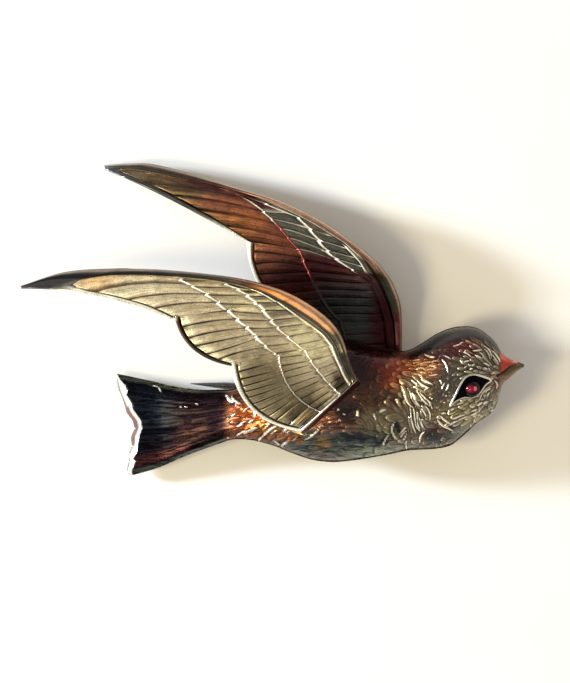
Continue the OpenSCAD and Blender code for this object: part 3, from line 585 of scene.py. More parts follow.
# Cells that a hollow or lip is measured over, and the height that makes it a full one, in millimetres
TONE_CELLS = 2
BODY_TONE, WING_TONE = 0.035, 0.05
# Depth of the engraved lines: on the body among its feathers and on its smoother parts, and on the wings
BRUSHED, WING_BRUSHED = (0.30, 1.6), 0.6


def flow_at(x, y):
    """The way, length, width and height of the feathers at points, from the nearest rows of BODY_FLOW."""
    flow = np.array(BODY_FLOW)
    near = ((x[:, None] - flow[:, 0]) ** 2 + (y[:, None] - flow[:, 1]) ** 2 + 0.2) ** -2
    near /= near.sum(1, keepdims=True)
    turn = np.radians(flow[:, 2])
    way = np.arctan2(near @ np.sin(turn), near @ np.cos(turn))
    return way, near @ flow[:, 3], near @ flow[:, 4], near @ flow[:, 5]


def scattered_feathers():
    """Feathers on a jittered lattice, thinned so that each has room for its size, rear ones first."""
    dice = np.random.default_rng(SEED)
    x, y = np.meshgrid(*(np.arange(low, high, LATTICE) for low, high in zip(FIELD_LOW, FIELD_HIGH)))
    x = (x + dice.uniform(-0.5, 0.5, x.shape) * LATTICE).ravel()
    y = (y + dice.uniform(-0.5, 0.5, y.shape) * LATTICE).ravel()
    inside = (y < read(OUTLINE, TOP, x)) & (y > read(OUTLINE, LOW, x))
    x, y = x[inside], y[inside]
    way, length, width, height = flow_at(x, y)
    way = way + dice.normal(0, WAY_SPREAD, x.size)
    length = length * dice.uniform(*SIZE_SPREAD, x.size)
    width = width * dice.uniform(*SIZE_SPREAD, x.size)
    height = height * dice.uniform(*HEIGHT_SPREAD, x.size)
    kept = []
    for k in dice.permutation(x.size):
        dx, dy = x[kept] - x[k], y[kept] - y[k]
        along = (dx * math.cos(way[k]) + dy * math.sin(way[k])) / (ROOM_ALONG * length[k])
        side = (dy * math.cos(way[k]) - dx * math.sin(way[k])) / (ROOM_ACROSS * width[k])
        if not np.any(along**2 + side**2 < 1):
            kept.append(k)
    kept = sorted(kept, key=lambda k: x[k])
    return [(x[k], y[k], way[k], length[k], width[k], height[k]) for k in kept]


def rows_near(x, low, high):
    """Rows of a grid whose X lies between two places."""
    row_x = x[:, x.shape[1] // 2]
    return slice(int(np.searchsorted(row_x, low)), int(np.searchsorted(row_x, high)) + 1)


def lay_feathers(x, y, relief, barb, strength):
    """Lays lapped feathers into the relief: each rises to its tip and covers what lies behind it."""
    for fx, fy, way, length, width, height in scattered_feathers():
        rows = rows_near(x, fx - length, fx + length)
        dx, dy = x[rows] - fx, y[rows] - fy
        along = (dx * math.cos(way) + dy * math.sin(way)) / length + 0.4
        side = (dy * math.cos(way) - dx * math.sin(way)) / (width * HALF_FEATHER)
        taper = np.sqrt(np.clip(1 - (np.clip(along - 0.5, 0, 1) / 0.5) ** 2, 0, 1))
        taper = taper * between(along, -0.1, 0.25)
        room = np.minimum((taper - np.abs(side)) * width * HALF_FEATHER, (1 - along) * length) / EDGE_SOFT
        share = smooth(room + 0.5)
        rachis = 0.12 * np.exp(-((side / 0.12) ** 2))
        rise = height * (0.15 + 0.85 * np.clip(along, 0, 1))
        leaf = rise * (1 - 0.45 * np.clip(side, -1, 1) ** 2 + rachis)
        relief[rows] = mix(relief[rows], leaf * strength[rows], share)
        barb[rows] = mix(barb[rows], along * length + np.abs(side) * width * 0.5, share)


def bowed(x0, y0, x1, y1, bow, count=9):
    """Points of a bowed line from one place to another."""
    f = np.linspace(0, 1, count)
    length = max(math.hypot(x1 - x0, y1 - y0), 1e-6)
    lift = bow * 4 * f * (1 - f) / length
    return np.c_[mix(x0, x1, f) - (y1 - y0) * lift, mix(y0, y1, f) + (x1 - x0) * lift]


def cut_strokes(x, y, relief, bare):
    """Lays the single strokes over the feathers."""
    for x0, y0, x1, y1, bow, width, height in BODY_STROKES:
        line = bowed(x0, y0, x1, y1, bow)
        rows = rows_near(x, line[:, 0].min() - 3 * width, line[:, 0].max() + 3 * width)
        away, share = distance_to(x[rows], y[rows], line)
        half = HALF_STROKE * width * (0.35 + 0.65 * np.sin(np.pi * share) ** 0.8)
        core = np.exp(-((away / half) ** 4))
        relief[rows] = mix(relief[rows], RELIEF_SINK * 0.6 + height, core)
        bare[rows] = np.maximum(bare[rows], core) if height > 0 else bare[rows] * (1 - core)


def tail_relief(c):
    """Long feathers of the fan: rounded vanes with a rib, parted by grooves."""
    phase = TAIL_FEATHERS * (c + 1) / 2
    inside = phase - np.floor(phase)
    vane = np.abs(np.sin(np.pi * phase)) ** 0.6
    rib = np.exp(-(((inside - 0.5) / 0.06) ** 2))
    return TAIL_RIDGE * (vane + 0.2 * rib), inside


def tail_colours(x, c, inside):
    """Navy at the end, dark maroon in the middle, streaks of red and brown, grey upper and lower edges."""
    stops = [(0.3, "tail_red"), (2.0, "tail_maroon"), (6.0, "tail_maroon"), (9.5, "navy")]
    streak = np.exp(-(((inside - 0.25) / 0.16) ** 2)) * between(x, -9.0, -4.0)
    return layered(
        ramp(-x, stops),
        ("tail_maroon", between(c, 0.2, -0.7) * between(x, -14.0, -10.5) * 0.7),
        ("tail_red", 0.55 * streak),
        ("wine", over(c, -0.86, -0.62, 0.04) * over(x, -13.0, -6.0, 0.8) * 0.28),
        ("umber", over(c, -0.55, -0.05, 0.1) * over(x, -7.5, -3.5, 0.8) * 0.15),
        ("slate", between(c, 0.86, 0.93) * between(-x, 3.0, 6.0)),
        ("slate", between(-c, 0.86, 0.93)),
    )


def across_body(columns):
    """Places across the body from -1 at the lower edge to 1 at the upper one, closer at both."""
    return -np.cos(np.pi * np.linspace(0, 1, columns))[None, :]


def body_stations():
    """Places along the body from the tail's end to the beak's tip, one for each row."""
    runs = ((-TAIL_L, 0, TAIL_ROWS), (0, HEAD_FROM, TRUNK_ROWS), (HEAD_FROM, BEAK_FROM, HEAD_ROWS))
    rows = [np.linspace(start, end, count, endpoint=False) for start, end, count in runs]
    return np.concatenate([*rows, np.linspace(BEAK_FROM, BODY_L, BEAK_ROWS)])[:, None]


def body_relief(x, y, c, crown):
    """Relief of the front, and where it has barbs, bare metal, the tail's feathers and the mouth."""
    strength = (1 - crown) * between(-almond(x, y), 0.0, 0.30) * between(x, -1.2, 0.4)
    strength *= between(-x, -BEAK_FROM, -BEAK_FROM + 0.5) * between(c, 0.99, 0.93) * between(-c, 1.0, 0.96)
    relief, barb, bare = np.zeros((3, *x.shape))
    lay_feathers(x, y, relief, barb, strength)
    cut_strokes(x, y, relief, bare)
    fan, inside = tail_relief(c)
    relief = relief + between(-x, 0.2, 2.0) * (1 - np.abs(c) ** 8) * fan
    mouth = np.exp(-((distance_to(x, y, MOUTH_LINE)[0] / MOUTH_W) ** 2))
    return relief - MOUTH_D * mouth, barb, bare, inside, mouth


def body_colours(x, y, c, crown, relief, bare, lips, tail):
    """Enamel of the body, its raised lines and its beak."""
    on_head = between(x, 21.0, 25.0)
    tint = layered(
        paint(x, y, BODY_PATCHES),
        ("crown_grey", on_head * between(c, 0.70, 0.80)),
        ("night_maroon", (1 - on_head) * between(c, 0.78, 0.95) * 0.4),
        ("grey_green", between(-c, 0.93, 0.985) * between(x, 2, 8) * 0.6),
        ("gold", between(-c, 0.97, 0.995) * between(x, 2, 6) * 0.5),
    )
    tint = mix(tint, tail, between(-x, 0.0, 1.6)[..., None])
    gaps = between(-relief, -0.09, -0.01) * on_head * (1 - crown)
    fiery = smooth(1.6 - np.hypot((x - 24.6) / 2.3, (y - 4.3) / 1.5))
    tint = layered(
        tint,
        ("night_maroon", 0.3 * gaps),
        ("silver", 0.9 * bare),
        ("flame", 0.75 * fiery * np.maximum(bare, lips)),
        ("cream", (1 - fiery) * 0.35 * lips * (1 - crown) * between(x, 0, 3) * between(x, 17, 24)),
    )
    # The upper beak pales towards its tip: a painted highlight
    upper = ramp(x, [(36.0, "beak_red"), (37.3, "beak_tip_highlight")])
    lower = ramp(x, [(36.6, "beak_brown"), (37.6, "slate")])
    over_mouth = between(y - straight(MOUTH_LINE, 1, x), -0.05, 0.05)
    beak = mix(lower, upper, over_mouth[..., None])
    return mix(tint, beak, between(x, BEAK_FROM - 0.25, BEAK_FROM + 0.2)[..., None])


def body_finish(x, y, c, crown, socket, barb, half_width):
    """How matt the front is, how deep its engraved lines are and in which lanes they lie."""
    plain = np.clip((1 - between(x, 16.0, 20.0)) + between(-y, 3.6, 5.2), 0, 1)
    engraved = mix(*BRUSHED, plain) * (1 - crown) * between(-x, -BEAK_FROM, -BEAK_FROM + 1) * (1 - socket)
    dull = np.maximum(0.95 * between(-x, -0.5, 1.5), 0.5 * between(c, 0.3, 0.8))
    dull = np.maximum(dull, 0.8 * between(-c, 0.35, 0.8) * between(-x, -31.0, -27.0))
    return {"dull": np.maximum(dull, socket), "lane": mix(barb, c * half_width, plain), "brushed": engraved}


def with_walls(field):
    """A field of the body's front, carried down both side walls."""
    return np.concatenate([field[:, :1]] * WALL_RINGS + [field] + [field[:, -1:]] * WALL_RINGS, 1)


def build_body():
    """The casting: head, breast, rump and fan tail with their feathers, over a hollow back."""
    stations = body_stations()
    c = across_body(BODY_COLUMNS)
    top, low, lift, edge, hollow = (read(OUTLINE, k, stations) for k in (TOP, LOW, LIFT, EDGE, HOLLOW))
    y = mix(low, top, (c + 1) / 2)
    x, c = stations + 0 * c, c + 0 * stations
    fade = np.maximum(0, -stations / TAIL_L * FADE_RATE - FADE_START)
    front_x = x + fade * straight(TAIL_END, 1, c)
    plain = front_z(x, y)
    socket = smooth(almond(x, y) * 6)
    z = mix(plain, np.minimum(plain, SOCKET_Z), socket)
    base = np.stack([front_x, y, z], -1)
    crown = between(c, CROWN_FROM - CROWN_SOFT, CROWN_FROM + CROWN_SOFT) * between(x, 20.0, 23.0)
    relief, barb, bare, inside, mouth = body_relief(x, y, c, crown)
    held = smooth((1 - np.abs(c)) / 0.02) * (1 - socket)
    shift = held * (relief - RELIEF_SINK * (1 - crown) * between(-x, -BEAK_FROM, -BEAK_FROM + 0.6))
    front = base + normals_of(base) * shift[..., None]

    off_edge = between(1 - np.abs(c), 0.01, 0.04) * mix(0.5, 1.0, between(x, -2.0, 0.0))
    hollows, lips = (field * off_edge for field in tone(relief, BODY_TONE))
    tail = tail_colours(front_x, c, inside)
    tint = body_colours(x, y, c, crown, relief, bare, lips, tail)
    tint = laid_over(tint, "black", np.maximum(socket, 0.8 * mouth))
    flat = np.zeros(x.shape)
    fields = {
        "hollow": hollows, "lip": lips, "bare": bare, "feather": flat, "lined": flat, "edged": flat,
        **body_finish(x, y, c, crown, socket, barb, (top - low) / 2),
    }

    def side_wall(side, shares):
        """Rings of points at shares of the way from the back's edge to the front's."""
        edge_z = lift + edge * UNDER_EDGE
        return [np.stack([front_x[:, side], y[:, side], mix(edge_z, z[:, side], f)], -1) for f in shares]

    def under(rows, c, y):
        """Points of the hollow back in some rows."""
        z = lift[rows] + edge[rows] * (1 - dome(c, 4)) * UNDER_EDGE
        z = z + hollow[rows] * np.maximum(0, 1 - (np.abs(c) / HOLLOW_REACH) ** 4)
        return np.stack([stations[rows] + fade[rows] * straight(TAIL_END, 2, c), y, z], -1)

    rise = np.linspace(0, 1, WALL_RINGS + 1)[:-1]
    walls = side_wall(slice(0, 1), rise), side_wall(slice(-1, None), rise[::-1])
    front = np.concatenate([*walls[0], front, *walls[1]], 1)
    under_c = across_body(BACK_COLUMNS) + 0 * stations
    back = under(slice(None), under_c, mix(low, top, (under_c + 1) / 2))
    wide_c = with_walls(c)[:1]
    end_back = under(slice(0, 1), wide_c, front[:1, :, 1])
    depth = np.linspace(0, 1, END_FACE_ROWS + 1)[1:, None]
    end_face = mix(front[:1], end_back, depth[..., None])
    face_tint = layered(
        np.ones(end_face.shape) * linear("tarnish"),
        ("tail_rose", between(depth, 0.35, 0.6) * over(wide_c, -0.42, 0.36, 0.05)),
        ("slate", between(depth, 0.7, 0.9)),
    )
    piece = closed_sheet(
        "body_casting", front, back, with_walls(tint),
        {key: with_walls(field) for key, field in fields.items()},
        start=(end_face, face_tint, {"bare": 1.0}),
    )
    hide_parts("body")
    return piece


# Wings

# Leading edge of a wing from root to tip: place, the edge's point as shares of the wing's length and
# height, drop done, arch at the leading and the trailing edge; then shares across the wing, from its
# leading edge, where the rim, the three rows of coverts and the panel end, and the panel's depth
NEAR_EDGE = np.array([
    # s,     x,     y,   fall, lead, trail, rim, row_c, row_b, row_a, panel, depth
    [0.00, 0.000, 0.322, 0.00, 0.00, 0.00, 0.090, 0.140, 0.310, 0.640, 0.950, 1.0],
    [0.10, 0.009, 0.365, 0.00, 0.10, 0.00, 0.070, 0.125, 0.285, 0.610, 0.960, 1.0],
    [0.20, 0.021, 0.420, 0.00, 0.25, 0.00, 0.060, 0.110, 0.292, 0.598, 0.964, 1.0],
    [0.36, 0.039, 0.543, 0.03, 0.50, 0.00, 0.080, 0.130, 0.360, 0.590, 0.955, 1.0],
    [0.44, 0.057, 0.617, 0.05, 0.65, 0.00, 0.086, 0.135, 0.362, 0.565, 0.965, 1.0],
    [0.52, 0.098, 0.709, 0.09, 0.80, 0.00, 0.112, 0.170, 0.364, 0.550, 0.975, 1.0],
    [0.62, 0.170, 0.810, 0.15, 0.95, 0.00, 0.146, 0.190, 0.340, 0.590, 0.972, 1.0],
    [0.70, 0.244, 0.880, 0.22, 1.00, 0.05, 0.138, 0.158, 0.250, 0.490, 0.930, 1.0],
    [0.78, 0.348, 0.936, 0.32, 1.00, 0.10, 0.142, 0.150, 0.170, 0.380, 0.925, 1.0],
    [0.85, 0.467, 0.969, 0.45, 0.90, 0.20, 0.188, 0.192, 0.205, 0.235, 0.912, 1.0],
    [0.90, 0.586, 0.991, 0.58, 0.70, 0.30, 0.268, 0.270, 0.280, 0.290, 0.850, 0.8],
    [0.92, 0.658, 0.996, 0.65, 0.56, 0.28, 0.330, 0.332, 0.340, 0.350, 0.770, 0.5],
    [0.933, 0.706, 0.999, 0.69, 0.45, 0.26, 0.520, 0.521, 0.522, 0.523, 0.560, 0.0],
    [0.97, 0.869, 0.977, 0.86, 0.20, 0.15, 0.520, 0.521, 0.522, 0.523, 0.560, 0.0],
    [1.00, 1.000, 0.893, 1.00, 0.00, 0.00, 0.520, 0.521, 0.522, 0.523, 0.560, 0.0],
])
FAR_EDGE = np.array([
    # s,     x,     y,   fall, lead, trail, rim, row_c, row_b, row_a, panel, depth
    [0.00, 0.000, 0.010, 0.00, 0.00, 0.00, 0.090, 0.125, 0.200, 0.650, 0.955, 1.0],
    [0.12, 0.000, 0.100, 0.00, 0.06, 0.02, 0.090, 0.125, 0.190, 0.640, 0.960, 1.0],
    [0.25, 0.000, 0.208, 0.02, 0.22, 0.06, 0.092, 0.125, 0.180, 0.620, 0.960, 1.0],
    [0.38, 0.007, 0.308, 0.05, 0.45, 0.12, 0.100, 0.130, 0.170, 0.600, 0.965, 1.0],
    [0.50, 0.033, 0.407, 0.10, 0.68, 0.22, 0.100, 0.140, 0.172, 0.590, 0.970, 1.0],
    [0.55, 0.051, 0.447, 0.13, 0.77, 0.27, 0.105, 0.165, 0.260, 0.598, 0.972, 1.0],
    [0.60, 0.074, 0.491, 0.16, 0.84, 0.32, 0.107, 0.165, 0.365, 0.605, 0.950, 1.0],
    [0.66, 0.120, 0.552, 0.21, 0.92, 0.38, 0.100, 0.135, 0.320, 0.545, 0.938, 1.0],
    [0.70, 0.157, 0.596, 0.25, 0.96, 0.42, 0.085, 0.112, 0.272, 0.495, 0.932, 1.0],
    [0.78, 0.274, 0.715, 0.36, 1.00, 0.50, 0.120, 0.135, 0.170, 0.400, 0.918, 1.0],
    [0.85, 0.408, 0.811, 0.49, 0.95, 0.52, 0.150, 0.160, 0.250, 0.300, 0.900, 0.9],
    [0.90, 0.542, 0.873, 0.62, 0.80, 0.48, 0.165, 0.170, 0.180, 0.200, 0.876, 0.7],
    [0.94, 0.692, 0.945, 0.75, 0.58, 0.38, 0.385, 0.390, 0.395, 0.400, 0.872, 0.5],
    [0.97, 0.843, 1.000, 0.88, 0.32, 0.22, 0.550, 0.555, 0.560, 0.565, 0.840, 0.4],
    [0.985, 0.925, 1.001, 0.94, 0.16, 0.11, 0.680, 0.682, 0.684, 0.686, 0.720, 0.0],
    [1.00, 1.000, 0.993, 1.00, 0.00, 0.00, 0.680, 0.682, 0.684, 0.686, 0.720, 0.0],
])
# Columns of the edges' tables
FALL, ARCH_LEAD, ARCH_TRAIL = 3, 4, 5
ROW_ENDS, DEPTH = range(6, 11), 11

# Lobes of a trailing edge: start and end along the wing, ribs, and the curve's start, pull and end
NEAR_LOBES = [
    (0.000, 0.360, 190, (0.170, 0.000), (0.358, 0.066), (0.375, 0.426)),
    (0.364, 0.620, 130, (0.375, 0.402), (0.518, 0.457), (0.542, 0.709)),
    (0.624, 1.000, 240, (0.554, 0.690), (0.780, 0.877), (0.998, 0.874)),
]
FAR_LOBES = [
    (0.000, 0.250, 110, (0.191, 0.000), (0.301, 0.060), (0.341, 0.228)),
    (0.254, 0.600, 180, (0.344, 0.218), (0.508, 0.318), (0.522, 0.610)),
    (0.604, 1.000, 230, (0.532, 0.615), (0.776, 0.834), (0.993, 0.968)),
]

# Grooves between feathers: places along the wing where each crosses the outer end, the middle and the
# inner end of its row, or one place for a straight groove
BEYOND = [1.2]
NEAR_PRIMARIES = [
    0.01, (0.047, 0.055, 0.062), (0.093, 0.103, 0.112), (0.122, 0.130, 0.138), (0.161, 0.164, 0.167),
    (0.195, 0.194, 0.193), (0.225, 0.222, 0.219), (0.250, 0.246, 0.241), (0.271, 0.270, 0.268),
    (0.299, 0.296, 0.294), (0.324, 0.328, 0.332), (0.362, 0.366, 0.370), (0.416, 0.434, 0.432),
    (0.456, 0.465, 0.480), (0.501, 0.502, 0.502), (0.537, 0.542, 0.534), (0.580, 0.584, 0.578),
    (0.622, 0.617, 0.612), (0.684, 0.688, 0.670), (0.754, 0.756, 0.722), (0.839, 0.851, 0.797),
]
FAR_PRIMARIES = [
    0, (0.04, 0.05, 0.06), (0.08, 0.09, 0.10), (0.12, 0.13, 0.14), (0.165, 0.17, 0.18),
    (0.210, 0.215, 0.220), (0.252, 0.258, 0.265), (0.295, 0.300, 0.310), (0.335, 0.340, 0.350),
    (0.375, 0.380, 0.390), (0.415, 0.420, 0.435), (0.455, 0.465, 0.475), (0.494, 0.505, 0.517),
    (0.530, 0.546, 0.541), (0.573, 0.576, 0.574), (0.603, 0.612, 0.609), (0.678, 0.686, 0.660),
    (0.758, 0.760, 0.738), (0.837, 0.829, 0.793), (0.905, 0.890, 0.850),
]
NEAR_COVERTS = [
    -0.02, 0.03, 0.07, (0.125, 0.120, 0.120), 0.17, (0.210, 0.205, 0.200), (0.250, 0.245, 0.240), 0.28,
    (0.310, 0.305, 0.300), (0.345, 0.340, 0.335), (0.385, 0.380, 0.375), (0.440, 0.430, 0.425),
    (0.490, 0.480, 0.470), (0.535, 0.520, 0.510), (0.575, 0.560, 0.545), (0.615, 0.595, 0.580),
    (0.665, 0.645, 0.630), (0.720, 0.700, 0.685), (0.777, 0.755, 0.735), (0.830, 0.810, 0.790),
]
FAR_COVERTS = [
    0, 0.06, 0.12, 0.18, 0.24, 0.3, 0.35, 0.4, 0.44, 0.48, 0.52, (0.565, 0.560, 0.552),
    (0.610, 0.606, 0.582), (0.671, 0.660, 0.623), (0.717, 0.713, 0.688), (0.760, 0.754, 0.741),
    (0.79, 0.795, 0.80),
]
NEAR_INNER = [
    0, 0.06, 0.12, 0.18, 0.24, 0.3, 0.36, 0.41, 0.46, (0.510, 0.505, 0.500), (0.545, 0.540, 0.535),
    (0.595, 0.585, 0.575), (0.640, 0.630, 0.620), (0.680, 0.670, 0.660), (0.720, 0.705, 0.690),
    (0.76, 0.75, 0.73),
]
FAR_INNER = [
    0.5, (0.550, 0.545, 0.540), (0.593, 0.585, 0.574), (0.632, 0.626, 0.619), (0.687, 0.680, 0.666),
    (0.735, 0.730, 0.720), 0.78, 0.83,
]

# Cells across a wing, from the leading to the trailing edge
ZONES = {
    "wall": 2, "rim": 12, "lip": 2, "channel": 1, "ridge_c": 4, "inner": 14, "ridge_b": 4, "covert": 16,
    "ridge_a": 4, "primary": 36, "gap": 3, "trail": 8, "back_wall": 2,
}
UNDER_STATIONS = 9
WALL_ROWS = 8
# Share of the leading rim's width that its rounded shoulder takes up
SHOULDER = 0.45

# Shares of the wing's length: where a seated wing leaves the body, how far its foot spreads, and where
# the dish reaches its depth
SEAT_S, FOOT_S, DISH_S = 0.30, 0.06, 0.014
# Widths across the wing, in millimetres
NEAR_FOOT = 0.6
LIP_W, GAP_W, RIDGE_C_W = 0.14, 0.16, 0.42
FULL_CHORD = 5.0
SHALLOW_W = 1.2
LINED_FROM, LINED_TO = 0.1, 0.5
LANE_W = 1.1
# Heights in the panel, in millimetres
RIDGE_C_H, RIDGE_H, VANE_H, GROOVE_D, ROW_LOW, ROW_HIGH = 0.42, 0.10, 0.10, 0.12, 0.08, 0.26
RIM_CUT, RIDGE_FOOT, PRIMARY_LOW, TIP_CUT = 0.12, 0.04, 0.06, 0.10
# Shares of the plate's thickness: how far the walls and edges lie under the rim's top
WALL_FOOT, WALL_HEAD, TRAIL_CUT, BACK_FOOT, UNDER_CUT = 0.85, 0.55, 0.12, 0.95, 0.15


def trailing_edge(lobes, s, lobe):
    """Points of the trailing edge, in shares of the wing's length and height."""
    points = np.zeros((len(s), 2))
    for k, (start, end, _, *curve) in enumerate(lobes):
        f = ((s - start) / (end - start))[:, None]
        first, pull, last = np.array(curve)
        curve = first * (1 - f) ** 2 + pull * 2 * f * (1 - f) + last * f**2
        points = np.where((lobe == k)[:, None], curve, points)
    return points


def feathers_at(s, tau, grooves):
    """Feather number at each point, whole on the grooves; tau runs from their outer to their inner ends."""
    number = 0 * (s + tau)
    tau = np.clip(tau, 0, 1)
    places = [
        outer * (1 - tau) * (1 - 2 * tau) + 4 * middle * tau * (1 - tau) + inner * tau * (2 * tau - 1)
        for outer, middle, inner in (np.broadcast_to(groove, 3) for groove in grooves + BEYOND)
    ]
    for low, high in zip(places[:-1], places[1:]):
        number += np.clip((s - low) / np.maximum(high - low, 1e-3), 0, 1)
    return number


def vane(number):
    """Rounded feather that leans towards the next one, with a narrow groove at its start."""
    phase = number - np.floor(number)
    groove = np.exp(-((np.minimum(phase, 1 - phase) / 0.09) ** 2))
    rib = np.exp(-(((phase - 0.45) / 0.06) ** 2))
    return VANE_H * (np.sin(np.pi * phase**0.8) + 0.2 * rib) - GROOVE_D * groove


def row_step(number, depth):
    """How far a row's end steps out for each feather."""
    phase = number - np.floor(number)
    return depth * (np.sqrt(np.clip(1 - (2 * phase - 1) ** 4, 0, 1)) - 0.5 + 0.5 * (phase - 0.5))


def wing_columns(ends):
    """Share across the wing at each column of its grid, the column's zone and how far it is into it."""
    columns, zone_of, into, place = [], [], [], ends["wall"]
    for zone, cells in ZONES.items():
        end = np.maximum(ends[zone], place)
        for k in range(cells):
            columns.append(mix(place, end, k / cells))
            zone_of.append(zone)
            into.append(k / cells)
        place = end
    return np.stack([*columns, place], 1), np.array([*zone_of, "back_wall"]), np.array([*into, 1.0])[None, :]


def tray_heights(zone, u, s, depth, feather, wing):
    """Heights of the tray's front, from the rim's top: shoulder, dish, rows of feathers and trailing rim."""
    low, crest = -DISH_D * depth, (ROW_HIGH - DISH_D) * depth
    relief = vane(feather) * depth * wing["vanes"](s)
    row_rise = mix(low + ROW_LOW * depth, crest, u**1.3)
    ridge = crest + RIDGE_H * depth * np.sin(np.pi * np.clip(u / 0.7, 0, 1))
    ridge = mix(ridge, low + RIDGE_FOOT * depth, between(u, 0.25, 1.0))
    shoulder = -WALL_HEAD * WING_T * (1 - np.sin(np.pi / 2 * np.clip(u / SHOULDER, 0, 1)))
    rim_rise = shoulder - RIM_CUT * depth * between(u, SHOULDER, 1.0)
    primary_rise = mix(low + PRIMARY_LOW * depth, mix(low, crest, 0.62), np.clip(u / 0.84, 0, 1))
    primary_rise = primary_rise - TIP_CUT * depth * wing["tips"](s) * between(u, 0.80, 1.0)
    return (
        zone("wall") * mix(-WALL_FOOT, -WALL_HEAD, u) * WING_T
        + zone("rim") * rim_rise
        + zone("lip") * mix(-RIM_CUT * depth, low, u)
        + zone("channel") * low
        + zone("ridge_c") * (low + RIDGE_C_H * depth * np.sin(np.pi * u) ** 0.7 * wing["rise_c"](s))
        + zone("inner", "covert") * (row_rise + relief * between(u, 0.0, 0.2) * 0.8)
        + zone("ridge_b", "ridge_a") * (ridge + relief * 0.5)
        + zone("primary") * (primary_rise + relief * mix(0.25, 1.0, between(u, 0.0, 0.7)))
        + zone("gap") * mix(mix(low, crest, 0.3), low, u)
        + zone("trail") * (low * between(u, 0.25, 0.0) - TRAIL_CUT * WING_T * between(u, 0.7, 1.0))
        + zone("back_wall") * mix(-TRAIL_CUT, -BACK_FOOT, u) * WING_T
    )


def wing_ribs(wing):
    """Place of each rib along the wing, and where it meets the leading and the trailing edge."""
    edge, lobes = wing["edge"], wing["lobes"]
    s = np.concatenate([np.linspace(start, end, ribs) for start, end, ribs, *_ in lobes])
    lobe = np.repeat(np.arange(len(lobes)), [ribs for start, end, ribs, *_ in lobes])
    reach = np.array([-wing["length"], wing["height"]])
    lead = wing["root"] + np.stack([read(edge, 1, s), read(edge, 2, s)], -1) * reach
    return s, lead, wing["root"] + trailing_edge(lobes, s, lobe) * reach


def zone_ends(wing, s, chord):
    """Shares across each rib where the zones end; rows a and b step out for each of their feathers."""
    rim, row_c, row_b, row_a, panel = (straight(wing["edge"], column, s) for column in ROW_ENDS)
    fit = np.minimum(1, chord / FULL_CHORD) / chord
    row_a = row_a + row_step(feathers_at(s, 0 * s, wing["covert"]), wing["step_a"](s)) * fit
    row_b = row_b + row_step(feathers_at(s, 0 * s, wing["inner"]), wing["step_b"](s)) * fit
    return {
        "wall": 0 * chord,
        "rim": rim - LIP_W * fit,
        "lip": rim,
        "channel": np.maximum(rim, row_c - RIDGE_C_W * fit),
        "ridge_c": row_c,
        "inner": row_b - wing["width_b"](s) * fit,
        "ridge_b": row_b,
        "covert": row_a - wing["width_a"](s) * fit,
        "ridge_a": row_a,
        "primary": panel - GAP_W * fit,
        "gap": panel,
        "trail": 1 + 0 * chord,
        "back_wall": 1 + 0 * chord,
    }


def wing_points(wing, ribs, share, drop, foot):
    """Points at shares across each rib, at a height from the rim's top."""
    s, lead, trail = ribs
    edge = wing["edge"]
    xy = mix(lead[:, None], trail[:, None], share[..., None]) + foot
    fall = mix(wing["root_z"], wing["tip_z"], read(edge, FALL, s))[:, None]
    arch = mix(read(edge, ARCH_LEAD, s)[:, None], read(edge, ARCH_TRAIL, s)[:, None], share)
    top = fall + wing["arch"] * arch
    if wing["seated"]:
        seat = front_z(xy[..., 0], xy[..., 1]) + SEAT_GAP + FACET_SAG + WING_T
        top = mix(seat, np.maximum(top, seat), smooth(s / SEAT_S)[:, None])
    return np.concatenate([xy, (top + drop)[..., None]], -1)


